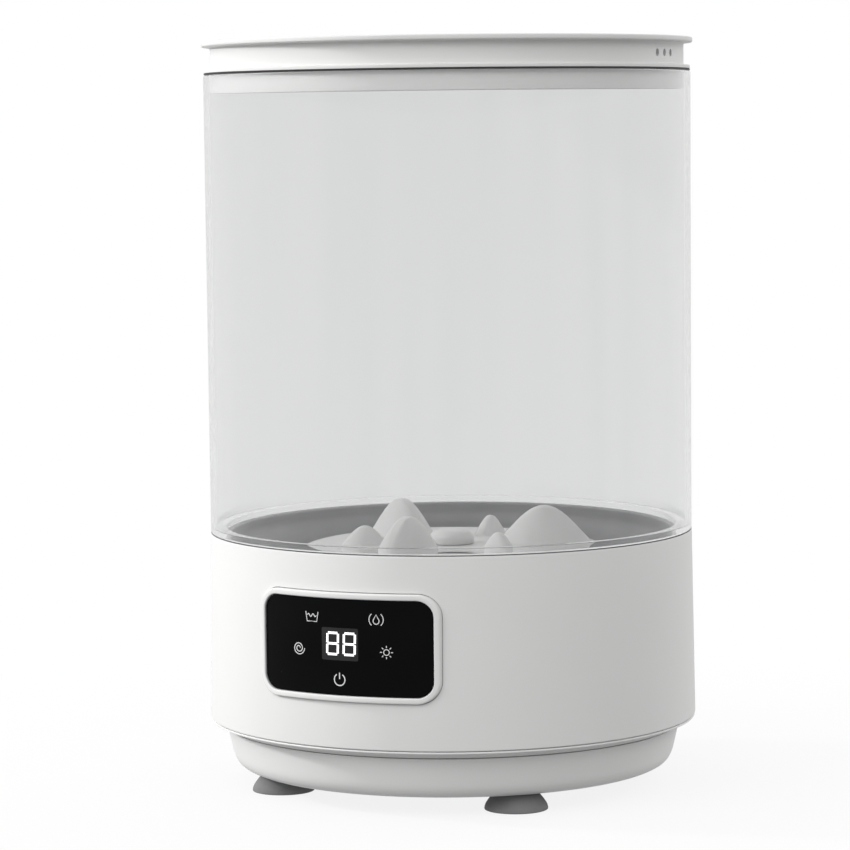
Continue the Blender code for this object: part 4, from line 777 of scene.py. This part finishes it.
# -------- rear connections
# A round low-voltage power jack and a drain spout closed by a rubber bung sit in two shallow wells
# at the rear. Jack and spout are moulded, and each is pushed in from outside.
# Black nylon: satin, faintly mottled by its glass filling.
black_nylon = surface("glass_filled_black_nylon", "#1C1C1D", "#2A2A2B", 2, (0.38, 0.50), 0.3, 0.02)

jack_face = jack_high.y - 1.4 * MM
jack_radius = (jack_high.x - jack_low.x) / 2 / MM
jack_deep = -(jack_face - jack_low.y) / MM
jack = turned(
    "power_jack_body",
    [
        (0.0, -8.0, 0),
        (2.9, -8.0, 0.2),
        (2.9, 0.9, 0.4),
        (3.6, 1.4, 0.3),
        (jack_radius, 1.4, 0.5),
        (jack_radius, 0.0, 0.1),
        (jack_radius - 2.8, 0.0, 0),
        (jack_radius - 2.8, jack_deep, 0.3),
        (0.0, jack_deep, 0),
    ],
    black_nylon,
    72,
    to_rear(rear_x, jack_face),
)
fit(jack, "base", "black_plastic", "power_jack")
outline = [(0, -0.6, 0), (0.85, -0.6, 0.5), (0.85, -8.1, 0), (0, -8.1, 0)]
pin = turned("power_jack_pin", outline, zinc, 32, to_rear(rear_x, jack_face))
fit(pin, "base", "zinc_steel")

spout_low, spout_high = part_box("drain_spout")
spout_radius = (spout_high.x - spout_low.x) / 2 / MM
spout_deep = -(jack_face - spout_low.y) / MM
spout = turned(
    "drain_spout_tube",
    [
        (4.6, 0.8, 0.3),
        (5.4, 1.4, 0.3),
        (spout_radius, 1.4, 0.5),
        (spout_radius, 0.0, 0.1),
        (spout_radius - 2.0, 0.0, 0),
        (spout_radius - 2.0, spout_deep, 0.3),
        (4.6, spout_deep, 0.3),
    ],
    abs_gloss,
    72,
    to_rear(-rear_x, jack_face),
)
fit(spout, "base", "white_abs", "drain_spout")

bung_low, bung_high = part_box("drain_bung")
bung_radius = (bung_high.x - bung_low.x) / 2 / MM
grip = (bung_high.y - jack_face) / MM
stem = -(jack_face - bung_low.y) / MM
bung = turned(
    "drain_bung_moulding",
    [
        (0.0, grip, 0),
        (3.6, grip, 0.8),
        (2.9, grip - 3.0, 1.5),
        (3.4, 3.4, 1.0),
        (bung_radius, 3.1, 0.6),
        (bung_radius, 1.7, 0.3),
        (4.3, 1.7, 0),
        (3.7, stem, 0.8),
        (0.0, stem, 0),
    ],
    rubber,
    72,
    to_rear(-rear_x, jack_face),
)
fit(bung, "bung", "dark_rubber", "drain_bung")

# -------- tub seal and barrel
# The barrel is extruded clear styrene-acrylonitrile with a welded foot flange. It stands on a flat
# nitrile seal in the housing's trough, and its top edge is flame polished.
black_rubber = surface("moulded_black_nitrile", "#232324", "#313132", 5, (0.5, 0.65), 0.4, 0.03)


def rubber_ring(name, inner, outer, bottom, top, ease):
    """A flat ring of black rubber with a rectangular section, in millimetres."""
    outline = [(inner, bottom, ease), (outer, bottom, ease), (outer, top, ease), (inner, top, ease)]
    return turned(name, outline, black_rubber)


seal_inner, seal_outer = bowl_high.x / FACETS / MM + 0.4, seal_high.x / FACETS / MM
tub_seal = rubber_ring("tub_seal_ring", seal_inner, seal_outer, seal_low.z / MM, seal_high.z / MM, 0.3)
fit(tub_seal, "base", "dark_rubber", "tub_seal")
# The seal reaches out into the seam between barrel and housing as a thin dark rubber sheet: painted shade
# that stands for the seam's shadow line.
seam_shadow_play = 0.03
seam_shadow_bottom, seam_shadow_top = housing_top + seam_shadow_play, tub_low.z / MM - seam_shadow_play
seam_shadow_lip = rubber_ring("tub_seal_lip", trough_outer + 0.3, top_radius - 0.1, seam_shadow_bottom, seam_shadow_top, 0)
fit(seam_shadow_lip, "base", "dark_rubber")

# Clear SAN: it refracts and reflects like any clear plastic, is faintly smoked, and has long soft
# waves from its drawing. It lets light through to what stands inside instead of shading it.
clear_san, tree, shader = plain("clear_drawn_san")
spot = add(tree, "ShaderNodeTexCoord").outputs["Object"]
long = add(tree, "ShaderNodeMapping", {"Vector": spot, "Scale": (1.0, 1.0, 0.06)})
draw = add(tree, "ShaderNodeTexNoise", {"Vector": long.outputs[0], "Scale": 1 / (14 * MM), "Detail": 3.0})
tone = {0: draw.outputs["Fac"], 6: linear("#F6F7F7"), 7: linear("#FBFBFB")}
tone = add(tree, "ShaderNodeMix", tone, data_type="RGBA")
smear = add(tree, "ShaderNodeMapRange", {"Value": draw.outputs["Fac"], "To Min": 0.01, "To Max": 0.05})
bump = {"Height": draw.outputs["Fac"], "Strength": 0.10, "Distance": 0.15 * MM}
bump = add(tree, "ShaderNodeBump", bump)
path = add(tree, "ShaderNodeLightPath")
seen = {0: path.outputs["Is Camera Ray"], 1: path.outputs["Is Transmission Ray"]}
seen = add(tree, "ShaderNodeMath", seen, operation="MAXIMUM")
veil = add(tree, "ShaderNodeMapRange", {"Value": seen.outputs[0], "To Min": 0.06, "To Max": 1.0})
tree.links.new(tone.outputs[2], shader.inputs["Base Color"])
tree.links.new(smear.outputs[0], shader.inputs["Roughness"])
tree.links.new(bump.outputs[0], shader.inputs["Normal"])
tree.links.new(veil.outputs[0], shader.inputs["Alpha"])
shader.inputs["Transmission Weight"].default_value = 0.97
shader.inputs["IOR"].default_value = 1.38
tub_foot = tub_low.z / MM
tub_top = tub_high.z / MM
tub_upper = tub_high.x / FACETS / MM
tub_lower = tub_upper - 0.5
tub_wall = 2.5
flange_inner, flange_top = 115.5, tub_foot + 3.1
barrel = turned(
    "clear_barrel",
    [
        (flange_inner, tub_foot, 0.3),
        (tub_lower, tub_foot, 0.5),
        (tub_upper, tub_top, 0.9),
        (tub_upper - tub_wall, tub_top, 0.9),
        (tub_lower - tub_wall, flange_top, 0.4),
        (flange_inner, flange_top, 0.3),
    ],
    clear_san,
    360,
)
fit(barrel, "base", "clear_barrel", "tub")

# -------- wash bowl
# Deep drawn stainless steel, 0.6 mm thick, hung by its flange on the housing's rib. Its floor is
# screwed to the drive frame, and it carries a drain nipple.
# Satin stainless: circular polishing lines about the drive axis, soft blotches from the press.
stainless, tree, shader = plain("satin_drawn_stainless")
spot = add(tree, "ShaderNodeTexCoord").outputs["Object"]
apart = add(tree, "ShaderNodeSeparateXYZ", {0: spot})
flat = add(tree, "ShaderNodeCombineXYZ", {0: apart.outputs[0], 1: apart.outputs[1]})
reach = add(tree, "ShaderNodeVectorMath", {0: flat.outputs[0]}, operation="LENGTH")
track = add(tree, "ShaderNodeCombineXYZ", {0: reach.outputs["Value"], 2: apart.outputs[2]})
lines = {"Vector": track.outputs[0], "Scale": 1 / (0.6 * MM), "Detail": 3.0}
lines = add(tree, "ShaderNodeTexNoise", lines)
cloud = add(tree, "ShaderNodeTexNoise", {"Vector": spot, "Scale": 1 / (16 * MM), "Detail": 4.0})
tone = {0: cloud.outputs["Fac"], 6: linear("#7E7E80"), 7: linear("#929293")}
tone = add(tree, "ShaderNodeMix", tone, data_type="RGBA")
polish = {"Value": lines.outputs["Fac"], "To Min": 0.38, "To Max": 0.55}
polish = add(tree, "ShaderNodeMapRange", polish)
bump = {"Height": lines.outputs["Fac"], "Strength": 0.12, "Distance": 0.03 * MM}
bump = add(tree, "ShaderNodeBump", bump)
tree.links.new(tone.outputs[2], shader.inputs["Base Color"])
tree.links.new(polish.outputs[0], shader.inputs["Roughness"])
tree.links.new(bump.outputs[0], shader.inputs["Normal"])
shader.inputs["Metallic"].default_value = 0.8

bowl_rim = bowl_high.x / FACETS / MM
bowl_top = bowl_high.z / MM
bowl_inner = 113.3
bowl_floor, sheet = bowl_top - 18.0, 0.6
bowl = turned(
    "wash_bowl_pressing",
    [
        (18.0 - sheet, bowl_floor + 4.0, 0.2),
        (18.0, bowl_floor + 4.0, 0.2),
        (18.0, bowl_floor, 1.5),
        (86.0, bowl_floor, 4.0),
        (101.0, bowl_floor + 1.4, 5.0),
        (110.0, bowl_floor + 5.4, 4.0),
        (bowl_inner, bowl_floor + 11.2, 4.0),
        (bowl_inner, bowl_top, 0.9),
        (bowl_rim, bowl_top, 0.25),
        (bowl_rim, bowl_top - sheet, 0.25),
        (bowl_inner + sheet, bowl_top - sheet, 0.4),
        (bowl_inner + sheet, bowl_floor + 10.8, 4.0),
        (110.4, bowl_floor + 4.9, 4.0),
        (101.0, bowl_floor + 1.4 - sheet, 5.0),
        (86.0, bowl_floor - sheet, 4.0),
        (18.0 - sheet, bowl_floor - sheet, 1.5),
    ],
    stainless,
)
frame_circle = bolt_circle(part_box("frame_screw_1"))
hole = rod("hole", 2.3, bowl_floor + 3, bowl_floor - 3)
bored(bowl, copies("bowl_holes", hole, None, 4, frame_circle, 0.0, 45, 90))
nipple_radius, nipple_bore = 6.2, 4.2
nipple_top, nipple_bottom = bowl_floor - 0.1, bowl_floor - 16.6
at_nipple = Matrix.Translation((-28.0 * MM, 52.0 * MM, 0.0))
bored(bowl, rod("hole", nipple_bore, bowl_floor + 3, bowl_floor - 3, 32, at_nipple))
fit(bowl, "base", "stainless", "wash_bowl")
nipple = turned(
    "bowl_nipple",
    [
        (nipple_bore, nipple_top, 0),
        (nipple_radius, nipple_top, 0),
        (nipple_radius, nipple_bottom, 0.3),
        (nipple_bore, nipple_bottom, 0.3),
    ],
    stainless,
    32,
    at_nipple,
)
fit(nipple, "base", "stainless")

# -------- pulsator
# The wash disc, moulded in pale polypropylene: three tall radial ridges with three knolls between
# them, water holes, and a skirt. A cap hides the screw that holds it on the shaft.
# Polypropylene: white, with a softer waxy sheen than the ABS; its colour is darkened to a pale grey as
# painted shade for the shade inside the barrel.
polypropylene_painted_shade = surface(
    "moulded_polypropylene_painted_shade", "#A9A9A8", "#B4B4B3", 25, (0.34, 0.46), 0.6, 0.03
)

disc_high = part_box("pulsator")[1]
cap_low, cap_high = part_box("pulsator_cap")
disc_radius = disc_high.x / FACETS / MM
disc_top = cap_low.z / MM - CLEARANCE
disc_bore, hub_bore, hub_radius = 2.3, 4.7, 11.0
RIM_WIDTH, RIM_FALL = 8.0, 2.8
PULSATOR_TURN = -2.0
RIDGES = (
    # azimuth, height, middle radius, half length, half width
    *((PULSATOR_TURN + 120 * n, 18.5, 48.0, 25.0, 13.5) for n in range(3)),
    *((PULSATOR_TURN + 60 + 120 * n, 9.6, 44.5, 12.5, 6.8) for n in range(3)),
)


def rise(radius, azimuth):
    """The height of the wash disc's relief above its flat, in millimetres: ridges with straight
    flanks and a rounded crest, bell shaped along their length, on a disc that falls at its rim."""
    height = 0.0
    for turn, peak, middle, half_length, half_width in RIDGES:
        away = math.radians(azimuth - turn)
        along = (radius * math.cos(away) - middle) / half_length
        if abs(along) >= 1 or math.cos(away) < 0:
            continue
        bell = math.cos(along * math.pi / 2) ** 1.15
        width = half_width * ((1 - abs(along) ** 2.2) ** 0.7 + 0.04)
        across = abs(radius * math.sin(away)) / width
        if across < 1:
            flank = 1 - (max(0.0, across - 0.12) / 0.88) ** 1.5
            height = max(height, peak * bell * flank)
    fall = max(0.0, radius - disc_radius + RIM_WIDTH) / RIM_WIDTH
    return height - RIM_FALL * fall * fall


skirt, disc_wall, rings, turns = 5.0, 2.0, 118, 432
disc_under, hub_foot = disc_top - 2.4, disc_top - 5.2
disc_reach = disc_radius - 0.4 - disc_bore
top_rows = [(disc_bore + disc_reach * n / rings, disc_top) for n in range(rings + 1)]
edge_rows = rounded(
    [
        (disc_radius, disc_top - 3.1, 0.3),
        (disc_radius, disc_top - skirt, 0.3),
        (disc_radius - disc_wall, disc_top - skirt, 0.3),
        (disc_radius - disc_wall, disc_top - 4.2, 0.2),
        (disc_radius - RIM_WIDTH, disc_under, 1.0),
        (hub_radius, disc_under, 0.3),
        (hub_radius, hub_foot, 0.3),
        (hub_bore, hub_foot, 0.3),
        (hub_bore, disc_under, 0),
        (disc_bore, disc_under, 0),
    ]
)
shape = bmesh.new()
rows = []
for radius, level in top_rows + [tuple(p) for p in edge_rows]:
    row = []
    for n in range(turns):
        azimuth = 360 * n / turns
        lift = rise(radius, azimuth) if level == disc_top else 0.0
        row.append(shape.verts.new(around(radius * MM, azimuth, (level + lift) * MM)))
    rows.append(row)
for first, second in zip(rows, rows[1:] + rows[:1]):
    for a, b, c, d in zip(first, first[1:] + first[:1], second[1:] + second[:1], second):
        shape.faces.new((a, b, c, d))
bmesh.ops.recalc_face_normals(shape, faces=shape.faces)
disc = finished("wash_disc", shape, polypropylene_painted_shade, 60)
hole_circle = 66.0 * MM
hole = rod("hole", 1.6, disc_top + 3, disc_top - 3.6, 20)
bored(disc, copies("disc_holes", hole, None, 9, hole_circle, 0.0, PULSATOR_TURN + 20, 40))
fit(disc, "pulsator_drive", "white_abs", "pulsator")

cap_radius = cap_high.x / math.cos(math.pi / 24) / MM
cap_foot, cap_roof = cap_low.z / MM, cap_high.z / MM
cap_ceiling = cap_roof - 2.4
cap = turned(
    "wash_disc_cap",
    [
        (0.0, cap_roof, 0),
        (cap_radius * 0.70, cap_roof, 3.5),
        (cap_radius, cap_roof - 3.0, 2.5),
        (cap_radius, cap_foot, 0.2),
        (cap_radius - 1.3, cap_foot, 0),
        (cap_radius - 2.6, cap_ceiling, 1.0),
        (0.0, cap_ceiling, 0),
    ],
    polypropylene_painted_shade,
    96,
)
fit(cap, "pulsator_drive", "white_abs", "pulsator_cap")

# -------- lid
# A shallow white ABS cover with an overhanging top flange, a plain neck and three slanted air
# vents on the right. A liner with a long skirt is screwed up into it and centres it in the barrel.
lid_low, lid_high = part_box("lid_cover")
liner_low, liner_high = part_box("lid_liner")
lid_radius = lid_high.x / FACETS / MM
lid_top, lid_foot = lid_high.z / MM, lid_low.z / MM
neck, foot_reach, lid_wall = lid_radius - 4.5, lid_radius - 1.3, 2.2
cover = turned(
    "lid_cover_moulding",
    [
        (0.0, lid_top, 0),
        (lid_radius, lid_top, 0.9),
        (lid_radius, lid_top - 2.6, 0.9),
        (neck, lid_top - 3.0, 1.0),
        (neck, lid_foot + 1.8, 0.8),
        (foot_reach, lid_foot + 1.8, 0.6),
        (foot_reach, lid_foot, 0.3),
        (neck - lid_wall, lid_foot, 0.2),
        (neck - lid_wall, lid_top - lid_wall, 1.0),
        (0.0, lid_top - lid_wall, 0),
    ],
    abs_white,
    360,
)
vent_half_width, vent_half_height, vent_slant = 1.7, 1.9, 14
vent_level, first_vent, vent_pitch = (lid_foot + 7.3) * MM, 85.1, 3.9
vent = rod("vent", 1.0, -6, 6, 32)
vent.data.transform(
    Matrix.Rotation(math.radians(vent_slant), 4, "Y")
    @ Matrix.Diagonal((vent_half_width, 1.0, vent_half_height, 1.0))
    @ Matrix.Rotation(math.pi / 2, 4, "X")
)
bored(cover, copies("lid_vents", vent, None, 3, neck * MM, vent_level, first_vent, vent_pitch))
cover.data.materials.clear()
cover.data.materials.append(abs_white)
fit(cover, "lid", "white_abs", "lid_cover")

skirt_radius = liner_high.x / FACETS / MM
liner_top, liner_bottom = liner_high.z / MM, liner_low.z / MM
liner_wall = 2.0
liner = turned(
    "lid_liner_moulding",
    [
        (0.0, liner_top, 0),
        (skirt_radius, liner_top, 0.4),
        (skirt_radius, liner_bottom, 0.7),
        (skirt_radius - liner_wall, liner_bottom, 0.7),
        (skirt_radius - liner_wall, liner_top - liner_wall, 1.5),
        (0.0, liner_top - liner_wall, 0),
    ],
    abs_white,
)
lid_screw_low, lid_screw_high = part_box("lid_screw_1")
lid_screw_circle = bolt_circle((lid_screw_low, lid_screw_high))
hole = rod("hole", 1.8, liner_top + 2, liner_top - 4)
bored(liner, copies("liner_holes", hole, None, 4, lid_screw_circle, 0.0, 45, 90))
fit(liner, "lid", "white_abs", "lid_liner")
lid_head = 1.8
lid_screw_seat = lid_screw_low.z + lid_head * MM
lid_screw = screw_template(1.5, 3.0, lid_head, 9.0)
lid_screws = copies("lid_screws", lid_screw, zinc, 4, lid_screw_circle, lid_screw_seat, 45, 90)
fit(lid_screws, "lid", "zinc_steel", *[f"lid_screw_{n}" for n in (1, 2, 3, 4)])
lid_seal_low, lid_seal_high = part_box("lid_seal")
seal_reach = lid_seal_high.x / FACETS / MM
seal_foot, seal_top = lid_seal_low.z / MM, lid_seal_high.z / MM
lid_seal = rubber_ring("lid_seal_ring", skirt_radius + CLEARANCE, seal_reach, seal_foot, seal_top, 0.1)
fit(lid_seal, "lid", "dark_rubber", "lid_seal")

# -------- drive and electrics
# What works inside the housing: the cast frame with its bearings and shaft, the belt drive and
# motor, the boards, their leads and the drain hose. None of it shows until the washer is opened.
# Each is finished as it is bought or made: cast, turned, wound, moulded, extruded or soldered.
cast = surface("die_cast_aluminium", "#8E8F92", "#A6A7AA", 4, (0.42, 0.60), 0.5, 0.06, 1.0)
ground_steel = surface("ground_stainless_steel", "#A8A8AA", "#BEBEC0", 0.8, (0.16, 0.28), metallic=1.0)
copper = surface("enamelled_copper_winding", "#A4552C", "#C77A45", 0.7, (0.22, 0.36), 0.7, 0.15, 1.0)
solder_mask = surface("green_solder_mask", "#14502C", "#1D6B3D", 3, (0.24, 0.38), 0.8, 0.03)
acetal = surface("moulded_black_acetal", "#17171A", "#242428", 5, (0.34, 0.46), 0.4, 0.02)
belt = surface("extruded_green_polyurethane", "#23653A", "#2F7D4A", 4, (0.45, 0.60), 0.5, 0.04)
hose = surface("extruded_grey_silicone", "#868685", "#9A9A99", 6, (0.42, 0.55), 0.6, 0.03)
pvc = surface("extruded_black_pvc", "#101011", "#1D1D1E", 2, (0.40, 0.52), 0.5, 0.02)
sleeve = surface("capacitor_sleeve", "#15161A", "#23252C", 2, (0.30, 0.42), 0.4, 0.02)
diffuser = surface("epoxy_filled_digit_case", "#141415", "#1F1F20", 2, (0.40, 0.52), 0.3, 0.02)
INSIDE = {
    cast: ("drive_frame",),
    ground_steel: ("drive_shaft", "motor_shaft", *[f"frame_screw_{n}" for n in (1, 2, 3, 4)]),
    zinc: (
        *("upper_bearing", "lower_bearing", "pulley_nut", "pulsator_screw", "jack_nut"),
        *("motor_end_cap", "motor_can", "motor_rotor", "motor_screw_1", "motor_screw_2"),
    ),
    rubber: ("shaft_seal",),
    copper: ("motor_stator",),
    solder_mask: ("control_board", "display_board"),
    acetal: ("drive_pulley", "motor_pulley"),
    belt: ("drive_belt",),
    hose: ("drain_hose",),
    pvc: ("power_lead", "motor_lead", "display_lead"),
    sleeve: ("board_capacitor",),
    diffuser: ("digit_module",),
}
for material, names in INSIDE.items():
    for name in names:
        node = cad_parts[name]
        node.data.materials.clear()
        node.data.materials.append(material)
